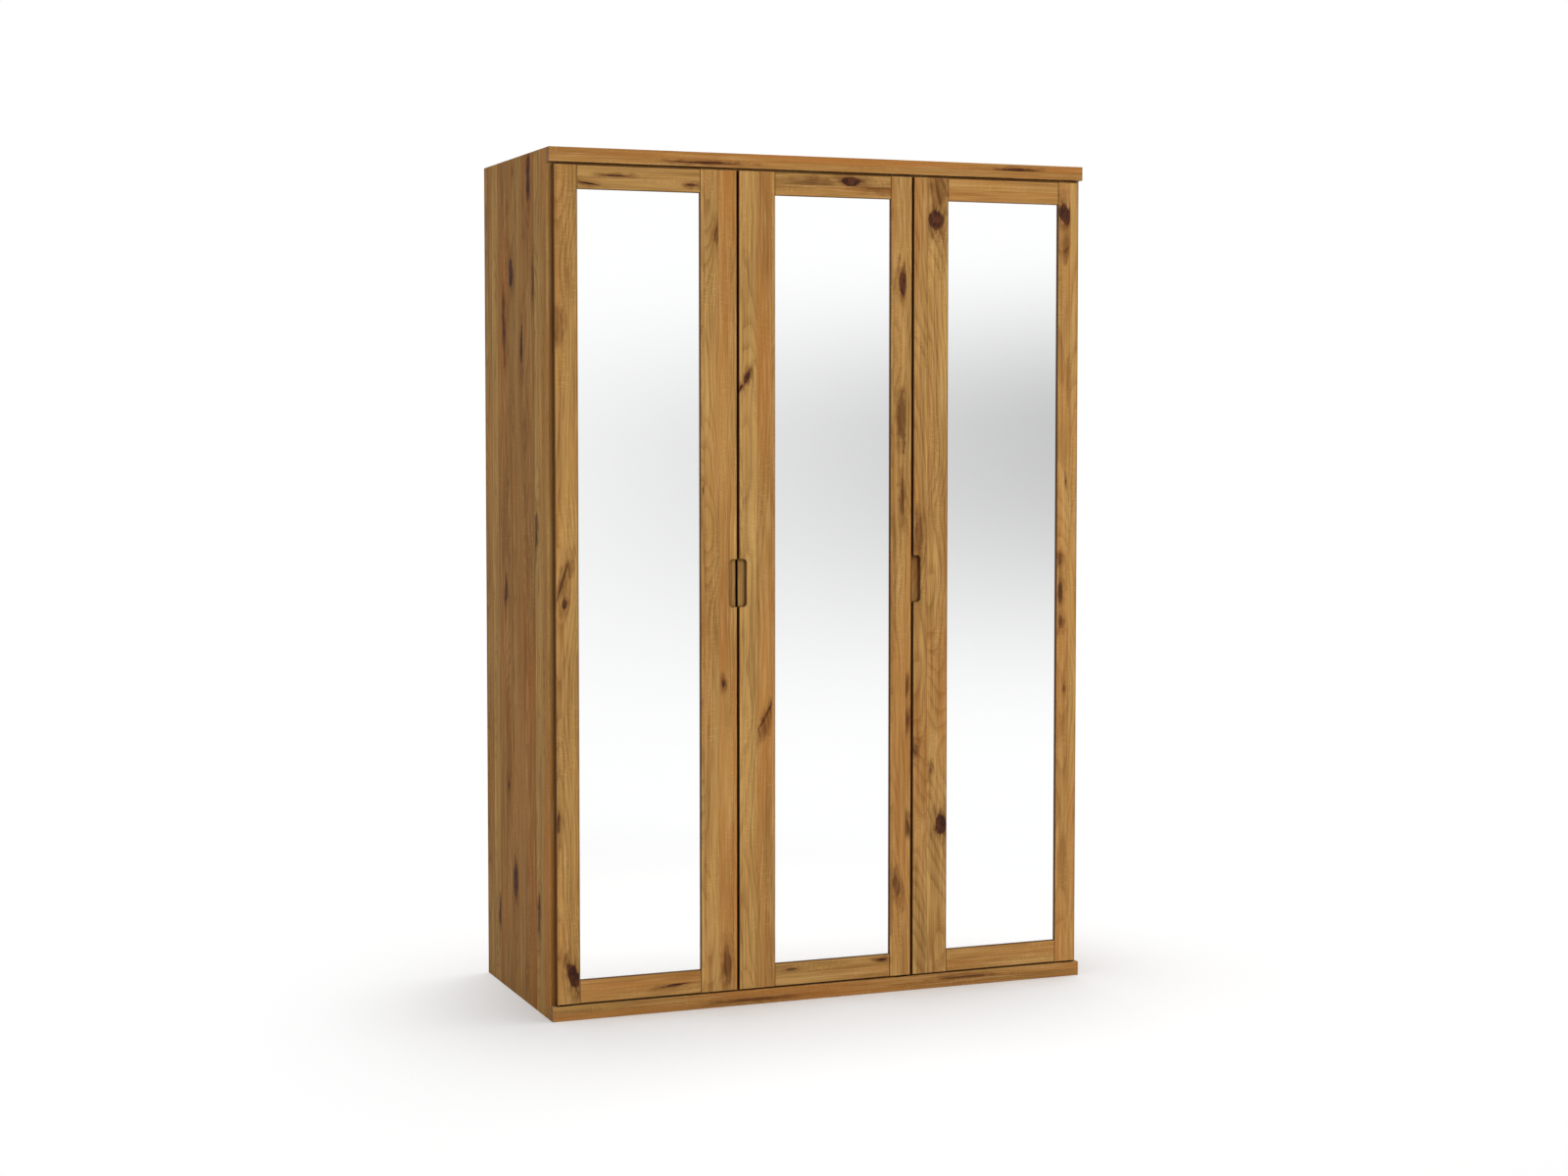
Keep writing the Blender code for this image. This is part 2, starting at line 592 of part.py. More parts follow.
    def build(self, plinth, cornice, oak, mirror, board, steel, plastic):
        handle_s = DOOR_WIDTH - HANDLE_STILE_WIDTH
        hinge_s = HINGE_STILE_WIDTH
        hinge_stile = self.stile(f"{self.name}_hinge_stile", 0, hinge_s, hinge_s, oak)
        handle_stile = self.stile(f"{self.name}_handle_stile", handle_s, DOOR_WIDTH, handle_s, oak)
        low_tenon, high_tenon = self.tenon_heights()
        inner_bottom = DOOR_BOTTOM + RAIL_HEIGHT
        inner_top = DOOR_TOP - RAIL_HEIGHT
        self.rail(f"{self.name}_bottom_rail", DOOR_BOTTOM, inner_bottom, inner_bottom, low_tenon, oak)
        self.rail(f"{self.name}_top_rail", inner_top, DOOR_TOP, inner_top, high_tenon, oak)
        mirror_back = MIRROR_FROM_FRONT + MIRROR_THICKNESS
        self.pane(f"{self.name}_mirror", MIRROR_FROM_FRONT, mirror_back, mirror)
        backing_back = DOOR_THICKNESS - BACKING_INSET
        self.pane(f"{self.name}_backing", BACKING_FROM_FRONT, backing_back, board)
        self.mill_finger_pull(handle_stile)
        self.pivot_hinge("bottom", plinth, hinge_stile, DOOR_BOTTOM, PLINTH_HEIGHT, True, steel)
        cornice_face = HEIGHT - CORNICE_HEIGHT
        self.pivot_hinge("top", cornice, hinge_stile, DOOR_TOP, cornice_face, False, steel)
        self.catch(steel, plastic)


def main():
    for old in list(bpy.data.objects):
        bpy.data.objects.remove(old, do_unlink=True)
    oak = material("oiled_oak", (0.376, 0.188, 0.058), 0.5)
    board = material("oak_veneered_board", (0.42, 0.24, 0.10), 0.6)
    mirror = material("silvered_glass", (0.92, 0.93, 0.93), 0.02, 1.0)
    steel = material("brushed_steel", (0.55, 0.55, 0.54), 0.35, 1.0)
    plastic = material("brown_plastic", (0.10, 0.055, 0.028), 0.5)
    plinth, cornice = carcase(oak, board, plastic, steel)
    for name, left, hinged_left in zip(
        ("left_door", "middle_door", "right_door"), DOOR_LEFTS, (True, False, False)
    ):
        edge = left if hinged_left else left + DOOR_WIDTH
        door = Door(name, edge, 1 if hinged_left else -1)
        door.build(plinth, cornice, oak, mirror, board, steel, plastic)


main()
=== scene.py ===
from math import pi, radians

import bmesh
import bpy
from mathutils import Matrix, Vector


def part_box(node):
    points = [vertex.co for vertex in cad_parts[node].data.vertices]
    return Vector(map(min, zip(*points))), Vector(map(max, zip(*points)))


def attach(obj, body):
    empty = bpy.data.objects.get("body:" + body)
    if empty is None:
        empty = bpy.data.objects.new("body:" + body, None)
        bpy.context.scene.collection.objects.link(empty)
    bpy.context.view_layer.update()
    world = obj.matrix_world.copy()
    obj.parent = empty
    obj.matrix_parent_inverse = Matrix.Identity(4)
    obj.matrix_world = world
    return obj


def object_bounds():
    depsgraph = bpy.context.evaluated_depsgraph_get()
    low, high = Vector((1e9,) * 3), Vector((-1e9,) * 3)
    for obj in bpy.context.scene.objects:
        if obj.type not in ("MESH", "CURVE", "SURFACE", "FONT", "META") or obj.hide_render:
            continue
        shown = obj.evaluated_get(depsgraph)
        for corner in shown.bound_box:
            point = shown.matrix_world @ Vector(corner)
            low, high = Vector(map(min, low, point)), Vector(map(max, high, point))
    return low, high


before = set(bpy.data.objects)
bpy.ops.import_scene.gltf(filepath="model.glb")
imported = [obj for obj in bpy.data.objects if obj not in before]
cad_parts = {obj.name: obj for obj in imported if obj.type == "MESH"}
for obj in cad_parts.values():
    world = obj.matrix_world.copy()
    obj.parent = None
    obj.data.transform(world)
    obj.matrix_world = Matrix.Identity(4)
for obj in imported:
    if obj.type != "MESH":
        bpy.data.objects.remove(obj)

cad_low, cad_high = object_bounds()
X, Y, Z = Vector((1, 0, 0)), Vector((0, 1, 0)), Vector((0, 0, 1))


# ---- The studio ----------------------------------------------------------------------------------
# The wardrobe stands on a pale floor in a white studio. A broad soft lamp stands in front of it to the
# right, and weaker ones to the left, behind and overhead; the last gives the soft shadow round its foot.
# The far end of the studio is greyer at eye level, which the mirrors show.

camera_data = bpy.data.cameras.new("studio_camera")
camera_data.sensor_width = 36  # millimetres, as the lens
camera_data.lens = 58.63
camera_data.shift_y = -0.03
camera = bpy.data.objects.new("studio_camera", camera_data)
camera.location = (-2.498, -6.345, 1.510)
camera.rotation_euler = (radians(87.13), 0, radians(-21.52))
bpy.context.scene.collection.objects.link(camera)
bpy.context.scene.camera = camera
bpy.context.scene.view_settings.view_transform = "Standard"

WARDROBE_MIDDLE = (0, 0, 1.0)


def soft_lamp(name, place, width, power):
    """A round lamp that faces the wardrobe's middle. Its mirrors don't show the lamp itself."""
    data = bpy.data.lights.new(name, "AREA")
    data.shape = "DISK"
    data.size = width
    data.energy = power
    lamp = bpy.data.objects.new(name, data)
    lamp.location = place
    lamp.rotation_euler = (Vector(place) - Vector(WARDROBE_MIDDLE)).to_track_quat("Z", "Y").to_euler()
    lamp.visible_glossy = False
    bpy.context.scene.collection.objects.link(lamp)
    return lamp


front_lamp = soft_lamp("front_lamp", (2.2, -7.0, 3.8), 5.0, 360)
left_lamp = soft_lamp("left_lamp", (-6.5, -2.0, 3.5), 4.5, 66)
back_lamp = soft_lamp("back_lamp", (2.5, 3.5, 6.0), 4.0, 200)
overhead_lamp = soft_lamp("overhead_lamp", (0.5, 0.3, 6.5), 3.0, 270)


def node(tree, kind, **settings):
    made = tree.nodes.new(kind)
    for name, value in settings.items():
        setattr(made, name, value)
    return made


def plug(tree, value, slot):
    """Feeds a socket with another node's output, or sets the number or colour written on it."""
    if isinstance(value, Reading):
        tree.links.new(value.socket, slot)
    else:
        slot.default_value = value


class Reading:
    """The output of a node. Arithmetic on it adds Math nodes to the same tree."""

    def __init__(self, tree, socket):
        self.tree = tree
        self.socket = socket

    def math(self, operation, *others):
        return math_node(self.tree, operation, self, *others)

    def __add__(self, other):
        return self.math("ADD", other)

    def __sub__(self, other):
        return self.math("SUBTRACT", other)

    def __rsub__(self, other):
        return math_node(self.tree, "SUBTRACT", other, self)

    def __mul__(self, other):
        return self.math("MULTIPLY", other)

    def __truediv__(self, other):
        return self.math("DIVIDE", other)

    def rising(self, low, high, to_low=0.0, to_high=1.0):
        """Goes smoothly from to_low at low to to_high at high, and stays level outside them."""
        made = node(self.tree, "ShaderNodeMapRange", interpolation_type="SMOOTHSTEP")
        for value, slot in zip((self, low, high, to_low, to_high), made.inputs):
            plug(self.tree, value, slot)
        return Reading(self.tree, made.outputs[0])


def math_node(tree, operation, *values):
    made = node(tree, "ShaderNodeMath", operation=operation)
    for value, slot in zip(values, made.inputs):
        plug(tree, value, slot)
    return Reading(tree, made.outputs[0])


def split(vector):
    made = node(vector.tree, "ShaderNodeSeparateXYZ")
    plug(vector.tree, vector, made.inputs[0])
    return [Reading(vector.tree, socket) for socket in made.outputs]


def mixed(share, first, second):
    made = node(share.tree, "ShaderNodeMix", data_type="RGBA")
    for value, slot in zip((share, first, second), (made.inputs[0], made.inputs[6], made.inputs[7])):
        plug(share.tree, value, slot)
    return Reading(share.tree, made.outputs[2])


def node_with(tree, kind, **given):
    """A node with its sockets of these names set."""
    made = node(tree, kind)
    for name, value in given.items():
        made.inputs[name].default_value = value
    return made


def blended(tree, share, first, second):
    """A shader that goes over from the first to the second as the share rises."""
    made = node(tree, "ShaderNodeMixShader")
    plug(tree, share, made.inputs[0])
    tree.links.new(first.outputs[0], made.inputs[1])
    tree.links.new(second.outputs[0], made.inputs[2])
    return made


def seen_by_eye_or_mirror(tree):
    """Two readings: 1 for what is seen directly, and 1 for what is seen at all, as in a mirror."""
    path = node(tree, "ShaderNodeLightPath")
    direct = Reading(tree, path.outputs["Is Camera Ray"])
    reflected = Reading(tree, path.outputs["Is Glossy Ray"])
    through = Reading(tree, path.outputs["Is Transmission Ray"])
    return direct, direct.math("MAXIMUM", reflected).math("MAXIMUM", through)


WHITE, BLACK = (1, 1, 1, 1), (0, 0, 0, 1)
GREYEST = 0.54
WORLD_LIGHT = 0.45
world = bpy.data.worlds.new("white_studio")
bpy.context.scene.world = world
world.use_nodes = True
tree = world.node_tree
tree.nodes.clear()
direct, seen = seen_by_eye_or_mirror(tree)
direction = node(tree, "ShaderNodeTexCoord")
sideways, backwards, upwards = split(Reading(tree, direction.outputs["Generated"]))
elevation = upwards.math("ARCSINE").math("DEGREES")
bearing = sideways.math("ARCTAN2", backwards * -1.0).math("DEGREES")
far_end = bearing.rising(8, 36) * bearing.rising(120, 60)
level = elevation + bearing.rising(36, 8) * 1.2
at_eye_level = level.rising(4.3, -0.1) * level.rising(-7.5, -0.3)
grey = far_end * at_eye_level * GREYEST * (1.0 - direct)
shown = node(tree, "ShaderNodeBackground")
plug(tree, mixed(grey, WHITE, BLACK), shown.inputs["Color"])
lighting = node_with(tree, "ShaderNodeBackground", Color=WHITE, Strength=WORLD_LIGHT)
surround = node(tree, "ShaderNodeOutputWorld")
tree.links.new(blended(tree, seen, lighting, shown).outputs[0], surround.inputs[0])

FLOOR_RADIUS = 4.3
shape = bmesh.new()
bmesh.ops.create_circle(shape, cap_ends=True, segments=96, radius=FLOOR_RADIUS)
floor_mesh = bpy.data.meshes.new("studio_floor")
shape.to_mesh(floor_mesh)
shape.free()
floor = bpy.data.objects.new("studio_floor", floor_mesh)
bpy.context.scene.collection.objects.link(floor)

off_the_floor = bpy.data.collections.new("lamps_kept_off_the_floor")
only_the_floor = bpy.data.collections.new("lamp_kept_to_the_floor")
for group, state in ((off_the_floor, "EXCLUDE"), (only_the_floor, "INCLUDE")):
    group.objects.link(floor)
    group.collection_objects[0].light_linking.link_state = state
for lamp in (front_lamp, left_lamp, back_lamp):
    lamp.light_linking.receiver_collection = off_the_floor
overhead_lamp.light_linking.receiver_collection = only_the_floor

# The floor is white where it is open, and close to the wardrobe it shows the shadow.
OPEN_FROM, OPEN_TO = 0.9, 2.6
floor_finish = bpy.data.materials.new("studio_floor")
floor_finish.use_nodes = True
tree = floor_finish.node_tree
tree.nodes.clear()
direct, seen = seen_by_eye_or_mirror(tree)
where = node(tree, "ShaderNodeTexCoord")
before_doors = node_with(tree, "ShaderNodeMapping", Location=(0, 0.9, 0), Scale=(1.6, 1, 1))
tree.links.new(where.outputs["Object"], before_doors.inputs[0])
distance = node(tree, "ShaderNodeVectorMath", operation="LENGTH")
tree.links.new(before_doors.outputs[0], distance.inputs[0])
open_floor = Reading(tree, distance.outputs["Value"]).rising(OPEN_FROM, OPEN_TO)
matt = node_with(tree, "ShaderNodeBsdfDiffuse", Color=(0.80, 0.80, 0.80, 1))
shaded = node_with(tree, "ShaderNodeBsdfDiffuse", Color=(0.90, 0.90, 0.90, 1))
lit = node_with(tree, "ShaderNodeEmission", Strength=0.15)
white = node_with(tree, "ShaderNodeEmission")
near = node(tree, "ShaderNodeAddShader")
tree.links.new(shaded.outputs[0], near.inputs[0])
tree.links.new(lit.outputs[0], near.inputs[1])
floor_shown = blended(tree, open_floor, near, white)
output = node(tree, "ShaderNodeOutputMaterial")
tree.links.new(blended(tree, seen, matt, floor_shown).outputs[0], output.inputs[0])
floor_mesh.materials.append(floor_finish)


# ---- Side panels ---------------------------------------------------------------------------------
# Two full-height boards, each glued up from upright lamellas of knotty wild oak, planed and oiled. Each
# lamella comes from another log, so its tone, rings and knots change at the glue lines. The level panels
# are housed in them.


def srgb(red, green, blue):
    """A colour as a screen shows it, from 0 to 255."""

    def linear(part):
        part /= 255
        return part / 12.92 if part <= 0.04045 else ((part + 0.055) / 1.055) ** 2.4

    return (linear(red), linear(green), linear(blue), 1.0)


SOCKETS = {"Color": "NodeSocketColor"}  # every label that isn't listed is a plain number
SOCKETS.update(dict.fromkeys(("Board", "Timber", "Half Size", "Place", "Brushing"), "NodeSocketVector"))


def new_group(name, inputs, outputs):
    """A shader node group, its inputs as readings, and a function that feeds its outputs."""
    tree = bpy.data.node_groups.new(name, "ShaderNodeTree")
    for labels, way in ((inputs, "INPUT"), (outputs, "OUTPUT")):
        for label in labels:
            kind = SOCKETS.get(label, "NodeSocketFloat")
            tree.interface.new_socket(label, in_out=way, socket_type=kind)
    way_in, way_out = node(tree, "NodeGroupInput"), node(tree, "NodeGroupOutput")

    def put_out(*values):
        for value, slot in zip(values, way_out.inputs):
            plug(tree, value, slot)

    return tree, [Reading(tree, way_in.outputs[label]) for label in inputs], put_out


def use(tree, group, *values):
    """Places a group in a tree with its inputs, in their order, and gives its outputs."""
    made = node(tree, "ShaderNodeGroup", node_tree=group)
    for value, slot in zip(values, made.inputs):
        plug(tree, value, slot)
    return [Reading(tree, socket) for socket in made.outputs]


def joined(x, y, z):
    made = node(x.tree, "ShaderNodeCombineXYZ")
    for value, slot in zip((x, y, z), made.inputs):
        plug(x.tree, value, slot)
    return Reading(x.tree, made.outputs[0])


def stretched(vector, per_metre):
    made = node(vector.tree, "ShaderNodeVectorMath", operation="MULTIPLY")
    for value, slot in zip((vector, per_metre), made.inputs):
        plug(vector.tree, value, slot)
    return Reading(vector.tree, made.outputs[0])


def noise(vector, per_metre, detail=2.0, roughness=0.5, colour=False):
    made = node_with(vector.tree, "ShaderNodeTexNoise", Scale=1.0, Detail=detail, Roughness=roughness)
    plug(vector.tree, stretched(vector, per_metre), made.inputs["Vector"])
    return Reading(vector.tree, made.outputs[1 if colour else 0])


def lamella_at(across, width, joint):
    """A lamella's number, and how far across it the point lies, from 0 to 1. Their widths vary a little."""
    strip = (across - joint) / width
    uneven = strip + (strip * 2.1).math("SINE") * 0.2
    number = uneven.math("FLOOR")
    return number, uneven - number


# Each lamella takes its wood from another place in the timber, and has its own tone.
oak_lamellas, (board, width, joint, seed), put_out = new_group(
    "oak_lamellas",
    ("Board", "Lamella Width", "First Joint", "Seed"),
    ("Timber", "Tone", "Warmth", "Side", "Glue Line"),
)
across, through, along = split(board)
number, part = lamella_at(across, width, joint)
draw = node(oak_lamellas, "ShaderNodeTexWhiteNoise", noise_dimensions="1D")
plug(oak_lamellas, number * 7.31 + seed, draw.inputs["W"])
tone, warmth, start = split(Reading(oak_lamellas, draw.outputs["Color"]))
own_across = (part - 0.5) * width + (start - 0.5) * 0.14
from_joint = (0.5 - (part - 0.5).math("ABSOLUTE")) * width
put_out(
    joined(own_across, through, along + tone * 9.0 + seed),
    tone - 0.5,
    warmth - 0.5,
    number.math("GREATER_THAN", -0.5) - 0.5,
    from_joint.rising(0.0011, 0.0002),
)


def knot_shape(place, aside, rise, width, length):
    """How far a knot pushes the grain aside, its dark core with a crack in it, and the stain around it."""
    wander = noise(place, (75, 75, 30), detail=3.0, roughness=0.6) - 0.5
    near = (aside / width) * (aside / width) + (rise / length) * (rise / length)
    core = (near.math("SQRT") + wander * 1.0).rising(1.30, 0.95)
    crack = (aside + wander * 0.010).math("ABSOLUTE").rising(0.0016, 0.0006)
    crack = crack * (rise / length).math("ABSOLUTE").rising(1.9, 1.2)
    push = aside * (near * -0.20).math("EXPONENT") * 0.8
    far_aside, far_along = aside / (width * 2.2 + 0.006), rise / (length * 2.4 + 0.022)
    around = far_aside * far_aside + far_along * far_along
    stain = (around.math("SQRT") + wander * 1.6).rising(1.05, 0.15)
    return push, core.math("MAXIMUM", crack), stain


oak_knot, (board, at, up, width, length, lean, lamella_width, joint), put_out = new_group(
    "oak_knot",
    ("Board", "Across", "Along", "Knot Width", "Knot Length", "Lean", "Lamella Width", "First Joint"),
    ("Push", "Core", "Stain"),
)
across, through, along = split(board)
rise = along - up
here, _ = lamella_at(across, lamella_width, joint)
home, _ = lamella_at(at, lamella_width, joint)
on_lamella = (here - home).math("ABSOLUTE").math("LESS_THAN", 0.5)
shape = knot_shape(board, across - at + rise * lean, rise, width, length)
put_out(*(value * on_lamella for value in shape))

# Small pin knots lie scattered through all the timber.
PIN_KNOT_SITES = (9.0, 1.5, 1.7)  # a metre, across, through and along
oak_pin_knots, (timber, share), put_out = new_group(
    "oak_pin_knots", ("Timber", "Share"), ("Push", "Core", "Stain")
)
sites = node_with(oak_pin_knots, "ShaderNodeTexVoronoi", Scale=1.0)
plug(oak_pin_knots, stretched(timber, PIN_KNOT_SITES), sites.inputs["Vector"])
site = stretched(Reading(oak_pin_knots, sites.outputs["Position"]), [1 / each for each in PIN_KNOT_SITES])
chance, size, long = split(Reading(oak_pin_knots, sites.outputs["Color"]))
across, through, along = split(timber)
site_across, _, site_along = split(site)
there = chance.math("LESS_THAN", share)
width = (size * size) * 0.0062 + 0.0016
length = width * (long * 3.5 + 1.6)
push, core, stain = knot_shape(timber, across - site_across, along - site_along, width, length)
put_out(push * there, core * there * 0.7, stain * there * 0.6)

# The wood itself: rings about a pith below the face, open pores in the early wood, fibres, rays and clouds.
oak_wood, values, put_out = new_group(
    "oak_wood",
    ("Timber", "Push", "Core", "Stain", "Tone", "Warmth", "Pith", "Ring Width", "Sway"),
    ("Color", "Roughness", "Height"),
)
timber, push, core, stain, tone, warmth, pith, ring_width, sway = values
across, through, along = split(timber)
grain = joined(across - push, through, along)
sway_across, sway_through, _ = split(noise(timber, (2.2, 2.2, 1.3), detail=2.0, colour=True))
aside = across - push + (sway_across - 0.5) * sway * 0.13
behind = through + pith + (sway_through - 0.5) * sway * 0.12 + along * sway * 0.005
ripple = (noise(grain, (34, 34, 9), detail=2.0) - 0.5) * 0.0030
radius = (aside * aside + behind * behind).math("SQRT") + ripple
ring = (radius / ring_width).math("FRACT")
early = ring.rising(0.62, 0.04) * ring.rising(0.0, 0.05)
dashes = noise(grain, (1900, 1900, 130), detail=2.0, roughness=0.65)
pores = dashes.rising(0.55, 0.70) * (early * 0.8 + 0.2)
fibres = noise(grain, (420, 420, 9), detail=3.0, roughness=0.6) - 0.5
streaks = noise(grain, (70, 70, 2.8), detail=3.0, roughness=0.6) - 0.5
clouds = noise(grain, (15, 15, 2.4), detail=3.0) - 0.5
flush = noise(grain, (11, 11, 1.5), detail=2.0) - 0.5
patch = noise(timber, (13, 13, 5), detail=1.0)
rays = noise(grain, (55, 30, 330), detail=2.0).rising(0.50, 0.66) * patch.rising(0.46, 0.60)
shadow = noise(grain, (60, 60, 1.3), detail=2.0, roughness=0.6).rising(0.60, 0.78)

figure = sway * 0.4 + 0.6
shade = tone + (clouds * 1.3 + streaks * 1.6) * figure + fibres * 1.25 + rays * 0.24 - early * 0.27 + 0.545
colour = mixed(shade.rising(-0.45, 1.35), srgb(116, 78, 38), srgb(194, 152, 88))
colour = mixed((warmth + flush * 1.6 + 0.30).rising(0.0, 1.0) * 0.72, colour, srgb(168, 104, 46))
colour = mixed(shadow * 0.34, colour, srgb(104, 68, 34))
pale = noise(grain, (120, 120, 5), detail=3.0, roughness=0.65).rising(0.50, 0.72)
colour = mixed(pale * 0.32, colour, srgb(206, 168, 116))
colour = mixed(pores * 0.42, colour, srgb(88, 54, 26))
colour = mixed(stain * (early * 0.25 + streaks * 1.2 + 0.58), colour, srgb(94, 54, 24))
heart = noise(grain, (140, 140, 60), detail=3.0, roughness=0.65)
knot_colour = mixed(heart.rising(0.38, 0.64), srgb(46, 22, 18), srgb(84, 46, 30))
colour = mixed(core * 0.94, colour, knot_colour)
put_out(
    colour,
    pores * 0.15 + fibres * 0.20 + 0.50 - core * 0.08,
    fibres * 0.5 - pores * 0.6 - core * heart * 0.7 - early * 0.12,
)

# What use and finishing do at a board's edges: arrises rubbed paler, end grain dark with oil in the joints
# and ends, and along the sides of boards that ask for it a dark line of painted shade, standing in for the
# shadow in the door gaps and at the mirrors' edges.
board_edges, (board, half, painted_edge_shade), put_out = new_group(
    "board_edges", ("Board", "Half Size", "Painted Edge Shade"), ("Rubbed", "Dark")
)
folded = node(board_edges, "ShaderNodeVectorMath", operation="ABSOLUTE")
plug(board_edges, board, folded.inputs[0])
depth = node(board_edges, "ShaderNodeVectorMath", operation="SUBTRACT")
plug(board_edges, half, depth.inputs[0])
board_edges.links.new(folded.outputs[0], depth.inputs[1])
from_side, from_face, from_end = split(Reading(board_edges, depth.outputs[0]))
nearer, farther = from_side.math("MINIMUM", from_face), from_side.math("MAXIMUM", from_face)
from_arris = nearer.math("MAXIMUM", farther.math("MINIMUM", from_end))
touch = noise(board, (40, 40, 40), detail=3.0)
end_grain = from_end.rising(0.0012, 0.0003)
# Rubbed is wear on the arrises. Dark is a painted shade line along the board's sides, where the board asks
# for one, and end grain darkened by oil.
put_out(
    from_arris.rising(0.0030, 0.0006) * touch.rising(0.35, 0.65),
    (from_side.rising(0.0024, 0.0008) * painted_edge_shade).math("MAXIMUM", end_grain * 0.7),
)

LIES = {  # the ways that a board's width, thickness and grain point
    "upright_side": (Y, -X, Z),
    "upright_front": (X, Y, Z),
    "level_front": (Z, -Y, X),
    "level_flat": (Y, Z, X),
}


def shader_of(name, roughness=0.5, metallic=0.0, colour=(0.8, 0.8, 0.8, 1.0)):
    made = bpy.data.materials.new(name)
    made.use_nodes = True
    shader = made.node_tree.nodes["Principled BSDF"]
    shader.inputs["Base Color"].default_value = colour
    shader.inputs["Roughness"].default_value = roughness
    shader.inputs["Metallic"].default_value = metallic
    return made, made.node_tree, shader


def place_on_piece(tree, centre=(0, 0, 0), turn=None):
    """The point on the piece, measured from its centre along its own width, thickness and grain."""
    turn = turn or Matrix.Identity(3)
    to_centre = -(turn @ Vector(centre))
    where = node(tree, "ShaderNodeTexCoord")
    mapping = node_with(tree, "ShaderNodeMapping", Location=to_centre, Rotation=turn.to_euler())
    tree.links.new(where.outputs["Object"], mapping.inputs["Vector"])
    return Reading(tree, mapping.outputs[0])


def raise_surface(tree, shader, height, depth, strength=0.6):
    bump = node_with(tree, "ShaderNodeBump", Distance=depth, Strength=strength)
    plug(tree, height, bump.inputs["Height"])
    tree.links.new(bump.outputs[0], shader.inputs["Normal"])


PLAIN_OAK = dict(
    lamella=0.5, joint=0.0, knots=(), pin_knots=0.20, spread=0.55, pith=0.10, ring=0.0032, sway=0.6,
    tone=0.0, tone_step=0.0, warmth=0.0, warmth_step=0.0, sheen=0.07, painted_edge_shade=0.0, pull_edge=None,
)


def oak(name, low, high, lie, seed, **wood):
    """Oiled oak for one board, from its lowest to its highest corner.

    Each knot is (across, along, width, length, lean) from the board's centre, with how dark its core is as a
    sixth number where it isn't 1. Tone and warmth shift the whole board, and spread says how much its
    lamellas differ. Pith is how far below the face the rings' centre lies, and ring is a ring's width.
    """
    wood = {**PLAIN_OAK, **wood}
    lamella, joint = wood["lamella"], wood["joint"]
    made, tree, shader = shader_of(name)
    shader.inputs["Specular IOR Level"].default_value = wood["sheen"]
    turn = Matrix(LIES[lie])
    board = place_on_piece(tree, (low + high) / 2, turn)
    timber, tone, warmth, side, glue = use(tree, oak_lamellas, board, lamella, joint, seed)
    push, core, stain = use(tree, oak_pin_knots, timber, wood["pin_knots"])
    for knot in wood["knots"]:
        shape, darkness = knot[:5], knot[5] if len(knot) > 5 else 1.0
        more_push, more_core, more_stain = use(tree, oak_knot, board, *shape, lamella, joint)
        push = push + more_push
        core = core.math("MAXIMUM", more_core * darkness)
        stain = stain.math("MAXIMUM", more_stain)
    tone = tone * wood["spread"] + side * wood["tone_step"] + wood["tone"]
    warmth = warmth * wood["spread"] + side * wood["warmth_step"] + wood["warmth"]
    figure = (wood["pith"], wood["ring"], wood["sway"])
    made_of = (timber, push, core, stain, tone, warmth, *figure)
    colour, roughness, height = use(tree, oak_wood, *made_of)
    half = turn @ ((high - low) / 2)
    half = Vector([abs(each) for each in half])
    rubbed, dark = use(tree, board_edges, board, half, wood["painted_edge_shade"])
    # The finger pull's pocket is darkened with painted shade.
    if wood["pull_edge"] is not None:
        dark = dark.math("MAXIMUM", use(tree, finger_pull_shade, board, wood["pull_edge"])[0])
    colour = mixed(rubbed * 0.22, colour, srgb(214, 172, 116))
    # The dark colour goes on the glue lines, the oiled ends, and the painted shade along frame edges and in
    # the finger pulls.
    colour = mixed(dark.math("MAXIMUM", glue * 0.45) * 0.58, colour, srgb(58, 26, 10))
    plug(tree, colour, shader.inputs["Base Color"])
    plug(tree, roughness - rubbed * 0.08, shader.inputs["Roughness"])
    raise_surface(tree, shader, height, 0.0003)
    return made


def finish_node(name, material):
    """Gives a piece of the frame its real finish."""
    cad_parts[name].material_slots[0].material = material


def oak_node(name, lie, seed, **wood):
    finish_node(name, oak(f"oak_{name}", *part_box(name), lie, seed, **wood))


SIDE_LAMELLA = 0.078
# The lower tone and added warmth are painted shade: they make both side panels darker and warmer than the
# front, as a side turned away from the light.
SIDE_WOOD_WITH_PAINTED_SHADE = dict(lamella=SIDE_LAMELLA, tone=-0.15, warmth=0.12, pin_knots=0.25, sheen=0.01)
left_knots = (
    (0.035, 0.790, 0.017, 0.032, 0.0),
    (-0.130, 1.020, 0.012, 0.050, 0.0),
    (-0.065, 0.605, 0.010, 0.045, 0.05),
    (0.105, 0.665, 0.010, 0.060, -0.06, 0.6),
    (-0.172, 0.760, 0.010, 0.035, 0.0, 0.5),
    (-0.190, 0.136, 0.013, 0.040, 0.0, 0.7),
    (0.095, -0.035, 0.010, 0.024, 0.1),
    (0.078, -0.540, 0.008, 0.010, 0.0),
    (0.013, -0.782, 0.017, 0.036, 0.0),
    (0.163, -0.893, 0.014, 0.034, 0.08),
    (-0.203, -0.832, 0.009, 0.040, 0.0, 0.5),
)
right_knots = (
    (0.120, 0.420, 0.012, 0.034, 0.0),
    (-0.090, 0.910, 0.007, 0.050, 0.04),
    (-0.150, -0.310, 0.010, 0.040, 0.0),
    (0.060, -0.700, 0.008, 0.026, -0.05),
    (0.200, -0.120, 0.006, 0.055, 0.0),
)
oak_node("side_panel_left", "upright_side", 14.0, joint=-0.010, knots=left_knots, **SIDE_WOOD_WITH_PAINTED_SHADE)
